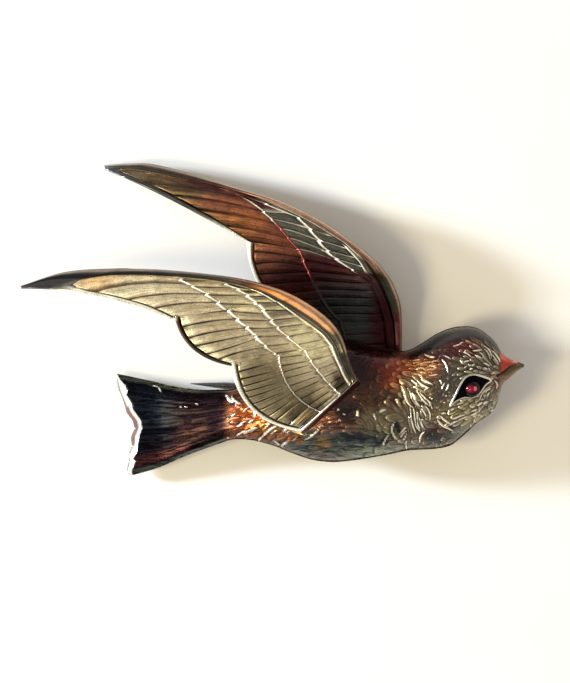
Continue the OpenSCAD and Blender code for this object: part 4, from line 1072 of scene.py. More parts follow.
def build_wing(name, node, wing):
    """A dished tray with raised rims and three rows of feathers."""
    ribs = s, lead, trail = wing_ribs(wing)
    s_col = s[:, None]
    chord = np.linalg.norm(lead - trail, axis=1)
    ends = zone_ends(wing, s, chord)
    across, zone_of, u = wing_columns(ends)

    def zone(*names):
        """1 in the columns of some zones."""
        return np.isin(zone_of, names)[None, :].astype(float)

    def along(outer, inner):
        """Share of the way across from a row's outer end to its inner one."""
        outer, inner = ends[outer], ends[inner]
        return np.clip((outer[:, None] - across) / np.maximum(outer - inner, 1e-3)[:, None], 0, 1)

    tau = along("primary", "ridge_a")
    primary = feathers_at(s_col, tau, wing["primary"])
    covert = feathers_at(s_col, along("ridge_a", "ridge_b"), wing["covert"])
    inner = feathers_at(s_col, along("ridge_b", "ridge_c"), wing["inner"])
    middle_a, middle_b = zone("ridge_a") * (u < 0.5), zone("ridge_b") * (u < 0.5)
    feather = mix(primary, covert, zone("covert") + middle_a + (zone("ridge_b") - middle_b))
    feather = mix(feather, inner, zone("inner", "ridge_c", "channel") + middle_b)
    width = np.maximum(ends["gap"] - ends["lip"], 0)[:, None] * chord[:, None]
    depth = straight(wing["edge"], DEPTH, s_col) * smooth(s_col / DISH_S) * np.clip(width / SHALLOW_W, 0, 1)
    z = tray_heights(zone, u, s_col, depth, feather, wing)

    way_out = np.stack([lead[:, 1] - trail[:, 1], trail[:, 0] - lead[:, 0]], -1) / chord[:, None]
    spread = NEAR_FOOT * (1 - smooth(s / FOOT_S)) if wing["seated"] else 0 * s
    foot = (spread[:, None] * way_out)[:, None]
    front = wing_points(wing, ribs, across, z, 0)
    under_share = np.linspace(0, 1, UNDER_STATIONS)[None, :] + 0 * s_col
    under_drop = -WING_T * (1 - UNDER_CUT * (np.abs(under_share - 0.45) > 0.45))
    back = wing_points(wing, ribs, under_share, under_drop, foot)
    under = wing_points(wing, ribs, across, -WING_T + 0 * across, foot)
    shares = np.linspace(0, 1, WALL_ROWS + 1)[1:, None, None]
    root_wall, tip_wall = mix(front[:1], under[:1], shares), mix(front[-1:], under[-1:], shares)
    wall_tint = ramp(np.linspace(0, 1, WALL_ROWS), wing["wall"])[:, None] + 0 * root_wall
    tip_tint = np.ones(tip_wall.shape) * linear(wing["tip"])

    tint, bare, lined = wing["paint"]({
        "s": s_col, "u": u, "tau": tau, "zone": zone, "x": front[..., 0], "y": front[..., 1],
        "covert": feathers_at(s_col, 0, wing["covert"]), "inner": feathers_at(s_col, 0, wing["inner"]),
    })
    rows = zone("inner", "covert", "primary")
    hollows, lips = tone(z, WING_TONE)
    values = {
        "hollow": hollows, "lip": lips * rows, "bare": bare, "feather": feather,
        "lined": np.maximum(lined, 0) * between(width, LINED_FROM, LINED_TO),
        "edged": np.maximum(-lined, 0), "dull": wing["dull"](s_col), "lane": feather * LANE_W,
        "brushed": WING_BRUSHED * rows,
    }
    piece = closed_sheet(
        name, front, back, tint, values, start=(root_wall, wall_tint, {}), end=(tip_wall, tip_tint, {}),
    )
    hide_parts(node)
    return piece


def along_wing(*stops):
    """A number that changes along the wing: stops are (place, value)."""
    places, values = zip(*stops)
    return lambda s: np.interp(s, places, values)


def band(u, middle, half):
    """A soft stripe across a zone."""
    return np.exp(-(((u - middle) / half) ** 2))


def marks(number, start, end, soft=0.06):
    """1 over a part of each feather's width."""
    phase = number - np.floor(number)
    return between(phase, start - soft, start + soft) * (1 - between(phase, end - soft, end + soft))


def row_crest(at, ridge, start, end):
    """1 on the raised end of a row of feathers, between two places along the wing."""
    u = at["u"]
    return at["zone"](ridge) * between(u, 0.0, 0.2) * (1 - between(u, 0.85, 1.0)) * over(at["s"], start, end)


# Enamel colours of the wings' panels: x, y, reach along X and along Y, colour
NEAR_PATCHES = [
    (4.8, 7.8, 11.7, 9.1, "champagne"), (-18.6, 15, 4.2, 1.3, "peach_gold"),
    (-12.1, 14.3, 4.2, 1.3, "champagne_light"), (-5.6, 13, 5.2, 1.8, "champagne"),
    (-3.6, 8.1, 4.2, 2.3, "champagne"), (10, 7.4, 3.1, 2.9, "pale_gold"),
    (3.2, 2, 5.2, 3.9, "olive_drab"), (8.7, -0.7, 3.9, 2.9, "olive_drab"),
    (9.6, -1.8, 3.4, 2, "dark_olive"), (13.8, 2.2, 0.9, 1.5, "dark_olive"),
    (3.8, 13, 4.4, 1.6, "pale_gold"), (8.7, 9.8, 2.1, 1, "pale_gold"),
]
FAR_PATCHES = [
    (11.3, 15.6, 11.7, 9.1, "wine"), (-12.1, 28.6, 5.9, 1.8, "tan"), (-15.5, 29, 4, 1.2, "olive"),
    (-5.6, 25.6, 4.2, 1.6, "tan_olive"), (-2.3, 25, 4.4, 1.8, "red_brown"),
    (0.9, 22.9, 4.4, 1.8, "burnt_orange"), (5.5, 19.5, 4.4, 2.9, "red_brown"),
    # Towards the root the panel darkens to black-teal: dark enamel, deepened as painted shade where the near
    # wing shades it
    (10, 16.6, 4.7, 3.1, "deep_wine"), (15.2, 11.1, 5.9, 4.4, "black_teal"),
    (19.6, 10.1, 1.8, 4.7, "deep_wine"),
]


def near_paint(at):
    """Champagne panel with dark grooves and silver rows, in a rim of olive, copper and black."""
    s, u, tau, zone = at["s"], at["u"], at["tau"], at["zone"]
    tips = along_wing((0.3, 0.15), (0.38, 1.0), (0.62, 1.0), (0.7, 0.7), (0.85, 0.5))(s)
    tips = zone("primary") * np.exp(-((tau / 0.22) ** 2)) * tips
    dark_leaves = zone("inner") * over(s, 0.52, 0.74) * marks(at["inner"], 0.15, 0.7)
    glints = zone("inner") * over(s, 0.28, 0.52, 0.05) * band(u, 0.15, 0.3)
    row_a = row_crest(at, "ridge_a", -0.1, 0.85)
    row_a = row_a * mix(0.55, 0.25 + 0.75 * marks(at["covert"], 0.12, 0.9), between(s, 0.38, 0.5))
    row_b = row_crest(at, "ridge_b", -0.1, 0.78)
    row_b = row_b * mix(0.7, 0.25 + 0.75 * marks(at["inner"], 0.12, 0.9), between(s, 0.45, 0.55))
    worn_c = along_wing(
        (0.02, 0), (0.06, 1), (0.44, 1), (0.48, 0.4), (0.53, 0.4), (0.56, 1), (0.68, 1), (0.70, 0),
    )
    row_c = zone("ridge_c") * worn_c(s)
    tint = layered(
        paint(at["x"], at["y"], NEAR_PATCHES),
        ("cream", tips),
        ("smoke", 0.75 * dark_leaves),
        ("pale_gold", 0.6 * glints),
        ("silver", row_a),
        ("silver", row_b),
        ("silver", row_c),
        # Painted shadow: dark brown in the gap inside the trailing rim
        ("dark_brown", zone("gap") * along_wing((0.3, 0.75), (0.38, 1.0))(s)),
        # Dark enamel in the lip and channel inside the leading rim, deepened as painted shade under the rim
        ("black_olive", zone("lip", "channel") * between(s, 0.02, 0.05) * 0.9),
    )
    # Painted highlight: a pale line along the rim's rounded shoulder, brighter in some stretches of the wing
    shoulder_highlight = along_wing((0.3, 0.8), (0.36, 0.6), (0.44, 0.25), (0.5, 0.9), (0.72, 0.9), (0.8, 0.35), (1, 0.3))
    # The dark line on the rim's inner slope is painted shade under the rim over dark enamel; a second dark
    # line crosses the rim's middle between 0.76 and 0.82 along the wing
    dark_line = between(u, 0.80, 0.9) + between(s, 0.76, 0.82) * between(u, 0.45, 0.6) * 0.8
    rim = layered(
        ramp(s, [(0.42, "black_olive"), (0.46, "copper_glow"), (0.56, "copper_glow"), (0.66, "copper_band"),
                 (0.74, "umber"), (0.79, "charcoal")]),
        ("rim_highlight_tan", shoulder_highlight(s) * band(u, 0.22, 0.12)),
        ("black", np.clip(dark_line, 0, 0.9)),
    )
    tint = mix(tint, rim, zone("wall", "rim")[..., None])
    solid_tip = over(s, 0.929, 1.1, 0.006) * (1 - zone("trail", "back_wall", "wall", "rim"))
    tint = laid_over(tint, "charcoal", solid_tip)
    trail = ramp(s, [(0.36, "silver"), (0.362, "black_olive"), (0.5, "black_olive"), (0.6, "umber"),
                     (0.63, "silver"), (0.88, "silver"), (0.94, "charcoal")])
    seam = zone("trail") * 0.5 * band(u, 0.62, 0.12) * between(s, 0.34, 0.38)
    trail = laid_over(trail, "dark_brown", seam)
    tint = mix(tint, trail, zone("trail", "back_wall")[..., None])
    root = 1 - between(s, 0.003, 0.008)
    tint = layered(
        tint,
        ("silver", 0.8 * root * zone("covert", "ridge_a", "primary", "gap")),
        ("black_olive", 0.9 * root * zone("inner", "ridge_b", "ridge_c")),
    )
    bare = np.maximum(np.maximum(row_a, row_b), row_c)
    bare = np.maximum(bare, 0.6 * zone("primary") * over(s, 0.66, 0.94, 0.05) + 0.9 * tips)
    bare_trail = along_wing((0.34, 1), (0.5, 0), (0.62, 0), (0.64, 1), (0.88, 1), (0.92, 0))(s)
    bare = np.maximum(bare, zone("trail") * bare_trail * 0.8)
    inner_lines = along_wing((0.3, 0.1), (0.4, 0.45), (0.6, 0.9))(s)
    lined = zone("primary") * mix(1.0, inner_lines, between(tau, 0.1, 0.8))
    lined = lined + zone("covert") * along_wing((0.35, 0.25), (0.5, 0.35), (0.6, 0.8))(s)
    lined = lined + zone("inner") * along_wing((0.45, 0.2), (0.52, 0.5), (0.6, 0.9))(s)
    return tint, bare, lined


def far_paint(at):
    """Tan to maroon panel that darkens to the root, with dark coverts edged in silver."""
    s, u, tau, zone = at["s"], at["u"], at["tau"], at["zone"]
    tips = along_wing((0.5, 0), (0.55, 0.3), (0.62, 0.35), (0.7, 0.9), (0.8, 0.8), (0.9, 0.4))(s)
    tips = zone("primary") * np.exp(-tau / 0.25) * tips
    leaves = zone("covert") * over(s, 0.60, 0.80, 0.015) + zone("inner") * over(s, 0.55, 0.73, 0.015)
    speckled = zone("inner", "channel", "ridge_c") * over(s, 0.72, 0.86, 0.015)
    row_a, row_b = row_crest(at, "ridge_a", 0.50, 0.84), row_crest(at, "ridge_b", 0.54, 0.84)
    row_c = zone("ridge_c") * over(s, 0.545, 0.68, 0.01)
    bead = zone("lip", "channel") * over(s, 0.62, 0.84)
    tint = layered(
        paint(at["x"], at["y"], FAR_PATCHES),
        ("tan_olive", 0.75 * tips),
        ("slate", 0.9 * leaves),
        ("smoke", 0.8 * speckled),
        ("red_line", row_a * over(s, 0.3, 0.745)),
        ("silver", np.clip(row_a * over(s, 0.745, 0.9) + row_b + row_c, 0, 1)),
        # Painted shadow: black in the gap inside the trailing rim, from 0.35 to 0.5 along the wing
        ("black", zone("gap") * between(s, 0.35, 0.5) * 0.9),
        # Dark enamel in the lip and channel inside the leading rim, deepened as painted shade under the rim
        ("black", zone("lip") * 0.9 + zone("channel") * over(s, 0.4, 0.8) * 0.6),
        ("silver", bead),
    )
    # Painted highlight: a pale line along the rim's rounded shoulder
    shoulder_highlight = along_wing(
        (0, 0.2), (0.2, 0.4), (0.4, 0.7), (0.5, 0.9), (0.6, 0.8), (0.8, 0.8), (0.9, 0.5), (1, 0.3),
    )
    stripe = band(u, 0.62, 0.08) * over(s, 0.6, 1.1) * 0.6 + band(u, 0.6, 0.1) * over(s, 0.0, 0.3) * 0.8
    rim = layered(
        ramp(s, [(0.22, "tail_rose"), (0.30, "umber"), (0.36, "black_olive"), (0.54, "black_olive"),
                 (0.60, "tan_rose"), (0.82, "tan_rose"), (0.90, "umber"), (1, "slate")]),
        ("rim_highlight_tan", shoulder_highlight(s) * band(u, 0.20, 0.10)),
        ("grey_edge", (1 - between(u, 0.05, 0.15)) * over(s, 0.5, 1.1)),
        ("deep_wine", stripe),
        # Painted shade under the rim over dark enamel: a black line on the rim's inner slope
        ("black", between(u, 0.84, 0.92) * 0.9),
    )
    tint = mix(tint, rim, zone("wall", "rim")[..., None])
    solid_tip = over(s, 0.982, 1.1, 0.004) * (1 - zone("trail", "back_wall", "wall", "rim"))
    tint = laid_over(tint, "charcoal", solid_tip)
    trail = ramp(s, [(0, "rust"), (0.3, "silver"), (0.66, "silver"), (0.72, "smoke"), (0.78, "charcoal")])
    trail = laid_over(trail, "black_teal", band(u, 0.55, 0.14) * between(s, 0.62, 0.7) * 0.7)
    tint = mix(tint, trail, zone("trail", "back_wall")[..., None])
    bare = np.maximum(np.clip(row_a * 0.6 + row_b + row_c, 0, 1), 0.7 * bead)
    bare = np.maximum(bare, zone("trail") * over(s, 0.4, 0.74) * 0.8)
    lined = zone("primary") * mix(1.0, 0.7, between(tau, 0.2, 0.9))
    lined = lined * along_wing((0.25, 0.15), (0.5, 0.65))(s)
    return tint, bare, lined - leaves * 0.55


# The wings, in millimetres where they have a size: root_z, tip_z and arch are heights of the rim's top;
# dull, tips and vanes change along the wing how matt it is, how far its feathers' tips sink and how
# high its vanes stand; step and width give the stepped ends of rows a and b, rise_c the inmost ridge
NEAR_WING = {
    "edge": NEAR_EDGE, "lobes": NEAR_LOBES,
    "primary": NEAR_PRIMARIES, "covert": NEAR_COVERTS, "inner": NEAR_INNER,
    "root": (0.426 * BODY_L, -0.258 * BODY_H), "length": 43.7, "height": 21.2,
    "root_z": 13.2, "tip_z": 8.5, "arch": 1.6, "seated": True,
    "dull": along_wing((0, 0.3)),
    "tips": along_wing((0.34, 0.3), (0.38, 1.0), (0.62, 1.0), (0.68, 0.6)),
    "vanes": along_wing((0, 1)),
    "step_a": along_wing((0.3, 0.10), (0.5, 0.45)),
    "step_b": along_wing((0.4, 0.12), (0.52, 0.40)),
    "width_a": along_wing((0.3, 0.24), (0.48, 0.65)),
    "width_b": along_wing((0.3, 0.34), (0.5, 0.40), (0.6, 0.60)),
    "rise_c": along_wing((0.44, 1.0), (0.47, 0.4), (0.53, 0.4), (0.56, 1.0), (0.68, 1.0), (0.72, 0.0)),
    "paint": near_paint, "tip": "charcoal",
    "wall": [(0.06, "silver"), (0.16, "maroon"), (1, "rust")],
}
FAR_WING = {
    "edge": FAR_EDGE, "lobes": FAR_LOBES,
    "primary": FAR_PRIMARIES, "covert": FAR_COVERTS, "inner": FAR_INNER,
    "root": (0.581 * BODY_L, 0.295 * BODY_H), "length": 38.9, "height": 26.1,
    "root_z": BACK_Z - SEAT_GAP, "tip_z": WING_T, "arch": 4.6, "seated": False,
    "dull": along_wing((0, 0.9), (0.4, 0.8), (0.6, 0.3)),
    "tips": along_wing((0, 0.3)),
    "vanes": along_wing((0.2, 0.25), (0.5, 1.0)),
    "step_a": along_wing((0.3, 0.10), (0.8, 0.20)),
    "step_b": along_wing((0.5, 0.10), (0.6, 0.60), (0.75, 0.35)),
    "width_a": along_wing((0.3, 0.20), (0.7, 0.30), (0.76, 0.50)),
    "width_b": along_wing((0.4, 0.10), (0.54, 0.30), (0.58, 0.80), (0.74, 0.60)),
    "rise_c": along_wing((0.53, 0.0), (0.56, 1.0), (0.66, 1.0), (0.70, 0.0)),
    "paint": far_paint, "tip": "charcoal",
    "wall": [(0, "tail_red"), (1, "night_maroon")],
}


# Eye

LID_RADII = [0.12, 0.15, 0.15, 0.10, 0.08, 0.12]
LID_PLACES = [0.0, 0.12, 0.48, 0.56, 0.9, 1.0]
LID_SUNK = 0.02
LID_SIDES = 10
EYE_RINGS = 26
EYE_SIDES = 72
# Painted light in the eye: a red glow in the middle, where light comes back through the glass, and a pink
# highlight beside it; place from its middle, reach along X and Y, in millimetres
EYE_GLOW = (0, 0, 0.8, 0.48)
EYE_HIGHLIGHT = (0.42, 0.05, 0.22, 0.3)


def tube(name, line, radii, sides):
    """A closed loop of tube along points, in millimetres."""
    ahead = np.roll(line, -1, axis=0) - np.roll(line, 1, axis=0)
    ahead /= np.linalg.norm(ahead, axis=1, keepdims=True)
    side = np.cross(ahead, [0, 0, 1])
    side /= np.linalg.norm(side, axis=1, keepdims=True)
    up = np.cross(side, ahead)
    turn = 2 * np.pi * np.arange(sides) / sides
    ring = np.cos(turn)[None, :, None] * side[:, None] + np.sin(turn)[None, :, None] * up[:, None]
    points = (line[:, None] + ring * radii[:, None, None]).reshape(-1, 3)
    return new_piece(name, points, loop_faces(len(line), sides, closed=True).tolist())


def build_lids():
    """The raised line round the eye, thick on the upper lid and thin on the lower one."""
    x, y = EYE_LINE.T
    radii = np.interp(np.arange(len(x)) / len(x), LID_PLACES, LID_RADII)
    return tube("eyelid", np.stack([x, y, front_z(x, y) - LID_SUNK], -1), radii, LID_SIDES)


def build_eye():
    """A cabochon with a bevelled base, with a painted red glow and a painted pink highlight in the middle,
    dark round it.
    """
    radius, foot_z = EYE_D / 2, SOCKET_Z + SEAT_GAP
    inward = np.linspace(1, 0, EYE_RINGS)[:-1]
    ring_r = np.concatenate([[radius], radius * inward])[:, None]
    ring_z = np.concatenate([[0.0], EYE_BASE + EYE_DOME * (1 - inward**2)])[:, None]
    turn = 2 * np.pi * np.arange(EYE_SIDES) / EYE_SIDES
    x, y = EYE_X + ring_r * np.cos(turn), EYE_Y + ring_r * np.sin(turn)
    points = np.concatenate([
        np.stack([x, y, foot_z + ring_z + 0 * x], -1).reshape(-1, 3),
        [[EYE_X, EYE_Y, foot_z + EYE_BASE + EYE_DOME], [EYE_X, EYE_Y, foot_z]],
    ])
    peak, foot = x.size, x.size + 1
    last = x.size - EYE_SIDES
    caps = [[last + k, last + (k + 1) % EYE_SIDES, peak] for k in range(EYE_SIDES)]
    caps += [[(k + 1) % EYE_SIDES, k, foot] for k in range(EYE_SIDES)]
    piece = new_piece("eye_cabochon", points, loop_faces(len(ring_r), EYE_SIDES).tolist() + caps)

    def shining(dx, dy, reach_x, reach_y):
        """1 in a soft oval light."""
        from_x, from_y = points[:, 0] - EYE_X - dx, points[:, 1] - EYE_Y - dy
        return between(np.hypot(from_x / reach_x, from_y / reach_y), 1.2, 0.7)

    dark = np.ones(points.shape) * linear("ruby_dark")
    set_tint(piece, layered(dark, ("ruby", shining(*EYE_GLOW)), ("eye_highlight_pink", shining(*EYE_HIGHLIGHT))))
    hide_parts("eye")
    return piece


# Materials

STREAK_LONG = 2.2
# Deep tones that colours sink to: hollows, engraved lines, the painted shade across each feather, and
# grooves
DEEP_HOLLOW, DEEP_SCORE = (0.16, 0.14, 0.14, 1), (0.18, 0.17, 0.17, 1)
VANE_SHADE_TONE, DEEP_GROOVE = (0.42, 0.40, 0.38, 1), (0.16, 0.12, 0.09, 1)
PAPER_WHITE = (0.86, 0.86, 0.87, 1)


def new_material(name):
    """A material, its tree of nodes and its shader."""
    material = bpy.data.materials.new(name)
    material.use_nodes = True
    return material, material.node_tree, material.node_tree.nodes["Principled BSDF"]


def feed(entry, value):
    """Links an entry of a node to another node's output, or sets it to a plain value."""
    if isinstance(value, bpy.types.NodeSocket):
        entry.id_data.links.new(value, entry)
    else:
        entry.default_value = value


def attribute(tree, name, output="Fac"):
    """A number or colour that the mesh keeps at its points."""
    node = tree.nodes.new("ShaderNodeAttribute")
    node.attribute_name = name
    return node.outputs[output]


def noise_of(tree, size_mm, detail):
    """Noise in the object's own place, with features of a size in millimetres."""
    place = tree.nodes.new("ShaderNodeTexCoord")
    noise = tree.nodes.new("ShaderNodeTexNoise")
    noise.inputs["Scale"].default_value = 1 / (size_mm * UNIT)
    noise.inputs["Detail"].default_value = detail
    noise.inputs["Roughness"].default_value = 0.55
    feed(noise.inputs["Vector"], place.outputs["Object"])
    return noise.outputs["Fac"]


def streaks_of(tree, lane, lane_mm):
    """Noise drawn out along the engraved lines, whose lanes lie side by side."""
    place = tree.nodes.new("ShaderNodeTexCoord")
    apart = tree.nodes.new("ShaderNodeSeparateXYZ")
    feed(apart.inputs["Vector"], place.outputs["Object"])
    stretched = tree.nodes.new("ShaderNodeCombineXYZ")
    feed(stretched.inputs["X"], maths(tree, "MULTIPLY", apart.outputs["X"], 1 / (STREAK_LONG * UNIT)))
    feed(stretched.inputs["Y"], maths(tree, "MULTIPLY", lane, 1 / lane_mm))
    feed(stretched.inputs["Z"], maths(tree, "MULTIPLY", apart.outputs["Y"], 1 / (STREAK_LONG * UNIT)))
    streaks = tree.nodes.new("ShaderNodeTexNoise")
    streaks.inputs["Scale"].default_value = 1.0
    streaks.inputs["Detail"].default_value = 2.0
    feed(streaks.inputs["Vector"], stretched.outputs["Vector"])
    return streaks.outputs["Fac"]


def scaled(tree, value, from_low, from_high, to_low, to_high):
    """A value carried from one range into another and kept inside it."""
    node = tree.nodes.new("ShaderNodeMapRange")
    entries = ("Value", "From Min", "From Max", "To Min", "To Max")
    for entry, number in zip(entries, (value, from_low, from_high, to_low, to_high)):
        feed(node.inputs[entry], number)
    return node.outputs["Result"]


def maths(tree, operation, *values):
    """A maths node's outcome for numbers or outputs."""
    node = tree.nodes.new("ShaderNodeMath")
    node.operation = operation
    for entry, value in zip(node.inputs, values):
        feed(entry, value)
    return node.outputs["Value"]


def mixed(tree, kind, share, a, b):
    """A mix of two colours, each of them a plain one or an output."""
    node = tree.nodes.new("ShaderNodeMix")
    node.data_type = "RGBA"
    node.blend_type = kind
    for k, value in ((0, share), (6, a), (7, b)):
        feed(node.inputs[k], value)
    return node.outputs["Result"]


def darkened(tree, colour, share, deep):
    """A colour sunk towards a deep tone by a share."""
    return mixed(tree, "MIX", share, colour, mixed(tree, "MULTIPLY", 1.0, colour, deep))


def bumped(tree, shader, height, strength, deep_mm):
    """Bumps the shader's surface."""
    bump = tree.nodes.new("ShaderNodeBump")
    bump.inputs["Strength"].default_value = strength
    bump.inputs["Distance"].default_value = deep_mm * UNIT
    feed(bump.inputs["Height"], height)
    feed(shader.inputs["Normal"], bump.outputs["Normal"])


def enamelled_metal(name, coat, rough, groove_w, lane_mm):
    """Translucent enamel over chased metal: deep in hollows and grooves, bare on raised lines."""
    material, tree, shader = new_material(name)
    tint = attribute(tree, "tint", "Color")
    keys = ("hollow", "lip", "bare", "feather", "lined", "edged", "lane", "brushed", "dull")
    hollow, lip, bare, feather, lined, edged, lane, brushed, dull = (attribute(tree, key) for key in keys)
    cloud, grain = noise_of(tree, 1.6, 4), noise_of(tree, 0.22, 3)

    # Grooves between feathers, and engraved lines inside them
    phase = maths(tree, "FRACT", feather)
    away = maths(tree, "ABSOLUTE", maths(tree, "SUBTRACT", phase, 0.5))
    groove = scaled(tree, away, 0.5 - groove_w, 0.5 - groove_w * 0.3, 0, 1)
    cut = maths(tree, "MULTIPLY", groove, lined)
    cut_lines = scaled(tree, streaks_of(tree, lane, lane_mm), 0.50, 0.40, 0, 1)
    engraved = maths(tree, "MULTIPLY", cut_lines, brushed)

    # Colour, from the enamel's clouds to the metal that is rubbed bare
    pooled = scaled(tree, cloud, 0.3, 0.7, 0.74, 1.2)
    grained = scaled(tree, grain, 0.3, 0.7, 0.82, 1.14)
    colour = mixed(tree, "MULTIPLY", 1.0, tint, maths(tree, "MULTIPLY", pooled, grained))
    colour = darkened(tree, colour, scaled(tree, hollow, 0, 1, 0, 0.85), DEEP_HOLLOW)
    colour = darkened(tree, colour, scaled(tree, engraved, 0, 1, 0, 0.8), DEEP_SCORE)
    # Painted shade: each feather darkens from its middle towards its far groove, as if that side were turned
    # from the light
    vane_shade = maths(tree, "MULTIPLY", scaled(tree, phase, 0.35, 1.0, 0, 0.55), lined)
    colour = darkened(tree, colour, vane_shade, VANE_SHADE_TONE)
    colour = darkened(tree, colour, cut, DEEP_GROOVE)
    colour = mixed(tree, "SCREEN", scaled(tree, lip, 0, 1, 0, 0.5), colour, tint)
    wire_line = maths(tree, "MULTIPLY", groove, edged)
    colour = mixed(tree, "MIX", wire_line, colour, (*linear("silver"), 1))
    feed(shader.inputs["Base Color"], colour)

    # Polish and coat
    feed(shader.inputs["Metallic"], scaled(tree, bare, 0, 1, 1.0, 0.45))
    matt = scaled(tree, grain, 0.25, 0.75, rough - 0.06, rough + 0.10)
    matt = maths(tree, "MULTIPLY_ADD", hollow, 0.15, matt)
    feed(shader.inputs["Roughness"], maths(tree, "MULTIPLY_ADD", bare, -0.08, matt))
    feed(shader.inputs["Coat Weight"], scaled(tree, dull, 0, 1, coat, 0.0))
    shader.inputs["Coat Roughness"].default_value = 0.05

    dents = maths(tree, "MULTIPLY_ADD", engraved, -0.9, maths(tree, "MULTIPLY", grain, 0.4))
    bumped(tree, shader, maths(tree, "MULTIPLY_ADD", cut, -1.2, dents), strength=0.4, deep_mm=0.04)
    return material


def plated_metal(name, colour, rough):
    """Plain plated metal with faint scratches and clouding."""
    material, tree, shader = new_material(name)
    cloud, grain = noise_of(tree, 2.2, 5), noise_of(tree, 0.15, 3)
    worn = scaled(tree, cloud, 0.3, 0.7, 0.70, 1.10)
    feed(shader.inputs["Base Color"], mixed(tree, "MULTIPLY", 1.0, (*linear(colour), 1), worn))
    shader.inputs["Metallic"].default_value = 1.0
    feed(shader.inputs["Roughness"], scaled(tree, grain, 0.25, 0.75, rough - 0.08, rough + 0.12))
    bumped(tree, shader, grain, strength=0.25, deep_mm=0.02)
    return material


def ruby_glass(name):
    """Polished red glass, clouded a little inside, with a faint painted glow from its own tint."""
    material, tree, shader = new_material(name)
    depth = scaled(tree, noise_of(tree, 0.5, 3), 0.3, 0.7, 0.75, 1.2)
    toned = mixed(tree, "MULTIPLY", 1.0, attribute(tree, "tint", "Color"), depth)
    feed(shader.inputs["Base Color"], toned)
    # The tint also glows faintly: painted light, as the glass is no lamp
    feed(shader.inputs["Emission Color"], toned)
    shader.inputs["Emission Strength"].default_value = 0.03
    shader.inputs["Roughness"].default_value = 0.1
    shader.inputs["Specular IOR Level"].default_value = 0.18
    return material


def paper(name):
    """Matt off-white paper with a faint tooth."""
    material, tree, shader = new_material(name)
    fibre, cloud = noise_of(tree, 0.8, 5), noise_of(tree, 25, 2)
    shade = scaled(tree, cloud, 0.3, 0.7, 0.97, 1.0)
    feed(shader.inputs["Base Color"], mixed(tree, "MULTIPLY", 1.0, PAPER_WHITE, shade))
    shader.inputs["Roughness"].default_value = 0.85
    shader.inputs["Specular IOR Level"].default_value = 0.2
    bumped(tree, shader, fibre, strength=0.12, deep_mm=0.04)
    return material


# Stage

MM = 0.001
MM_PER_PIXEL = 0.13
FRAME_TALL = 683
VIEW_X, VIEW_Y = 1.625, -2.86
SENSOR = 36
CAMERA_AWAY = 1.0
MID_HEIGHT = 6.0
FLOOR_HALF = 1.5
FLOOR_UNDER = 0.02
# The room's light by height, and its warm side
SKY = [(0.0, (0.80, 0.76, 0.70, 1)), (0.6, (0.68, 0.65, 0.60, 1)), (0.95, (0.62, 0.59, 0.53, 1))]
WARM_WAY, WARM_LIGHT = (0.72, 0.45, 0.52), (0.58, 0.47, 0.35, 1)
ROOM_LIGHT = 0.84


def build_stage():
    """A wide sheet of paper under the brooch."""
    mesh = bpy.data.meshes.new("floor")
    corners = ((-1, -1), (1, -1), (1, 1), (-1, 1))
    points = [(FLOOR_HALF * x, FLOOR_HALF * y, -FLOOR_UNDER * MM) for x, y in corners]
    mesh.from_pydata(points, [], [(0, 1, 2, 3)])
    floor = bpy.data.objects.new("floor", mesh)
    bpy.context.scene.collection.objects.link(floor)
    mesh.materials.append(paper("paper"))


def build_light(name, way, away, size, power, colour):
    """A square soft light that shines on the brooch from a direction."""
    data = bpy.data.lights.new(name, "AREA")
    data.size, data.energy, data.color = size, power, colour
    light = bpy.data.objects.new(name, data)
    direction = np.array(way) / np.linalg.norm(way)
    light.location = direction * away
    light.rotation_euler = Vector(direction).to_track_quat("Z", "Y").to_euler()
    light.visible_camera = False
    bpy.context.scene.collection.objects.link(light)


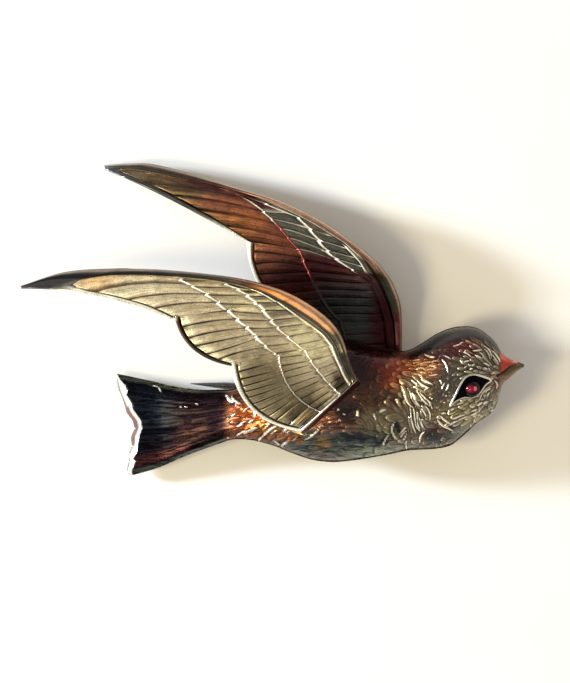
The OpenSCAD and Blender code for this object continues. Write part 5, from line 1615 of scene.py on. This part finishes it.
def build_world():
    """A dim room: pale round the horizon, darker overhead, warm to the upper right."""
    world = bpy.data.worlds.new("room")
    bpy.context.scene.world = world
    world.use_nodes = True
    tree = world.node_tree
    background = tree.nodes["Background"]
    way = tree.nodes.new("ShaderNodeTexCoord").outputs["Generated"]
    parts = tree.nodes.new("ShaderNodeSeparateXYZ")
    feed(parts.inputs["Vector"], way)
    height = tree.nodes.new("ShaderNodeValToRGB")
    feed(height.inputs["Fac"], parts.outputs["Z"])
    steps = height.color_ramp.elements
    steps.new(SKY[1][0])
    for step, (place, colour) in zip(steps, SKY):
        step.position = place
        step.color = colour
    warm_way = tree.nodes.new("ShaderNodeVectorMath")
    warm_way.operation = "DOT_PRODUCT"
    warm_way.inputs[1].default_value = WARM_WAY
    feed(warm_way.inputs[0], way)
    warmth = scaled(tree, warm_way.outputs["Value"], 0.3, 1.0, 0.0, 0.75)
    feed(background.inputs["Color"], mixed(tree, "MIX", warmth, height.outputs["Color"], WARM_LIGHT))
    background.inputs["Strength"].default_value = ROOM_LIGHT


def build_camera():
    """Straight above the brooch, at the photograph's scale."""
    data = bpy.data.cameras.new("camera")
    data.sensor_width = SENSOR
    data.lens = SENSOR * CAMERA_AWAY / (FRAME_TALL * MM_PER_PIXEL * MM)
    data.clip_start, data.clip_end = 0.01, 10
    camera = bpy.data.objects.new("camera", data)
    camera.location = (VIEW_X * MM, VIEW_Y * MM, CAMERA_AWAY + MID_HEIGHT * MM)
    bpy.context.scene.collection.objects.link(camera)
    bpy.context.scene.camera = camera


# The brooch

body = build_body()
near_wing = build_wing("near_wing_tray", "near_wing", NEAR_WING)
far_wing = build_wing("far_wing_tray", "far_wing", FAR_WING)
eyelid = build_lids()
eye = build_eye()

body.data.materials.append(enamelled_metal("body_enamel", coat=0.6, rough=0.26, groove_w=0.1, lane_mm=0.24))
near_enamel = enamelled_metal("near_wing_enamel", coat=0.5, rough=0.33, groove_w=0.09, lane_mm=0.10)
near_wing.data.materials.append(near_enamel)
far_enamel = enamelled_metal("far_wing_enamel", coat=0.6, rough=0.30, groove_w=0.09, lane_mm=0.10)
far_wing.data.materials.append(far_enamel)
eyelid.data.materials.append(plated_metal("polished_metal", "silver", rough=0.18))
eye.data.materials.append(ruby_glass("ruby_glass"))
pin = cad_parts["pin"]
for slot in pin.material_slots:
    slot.material = plated_metal("pin_steel", "steel", rough=0.28)

build_stage()
build_world()
build_light("sun", (-0.935, 0.16, 0.29), away=0.8, size=0.11, power=11.7, colour=(0.85, 0.94, 1.03))
build_light("window", (-0.60, -0.22, 0.77), away=0.55, size=0.16, power=1.75, colour=(1.0, 0.85, 0.50))
build_camera()

scene = bpy.context.scene
scene.view_settings.view_transform = "Standard"
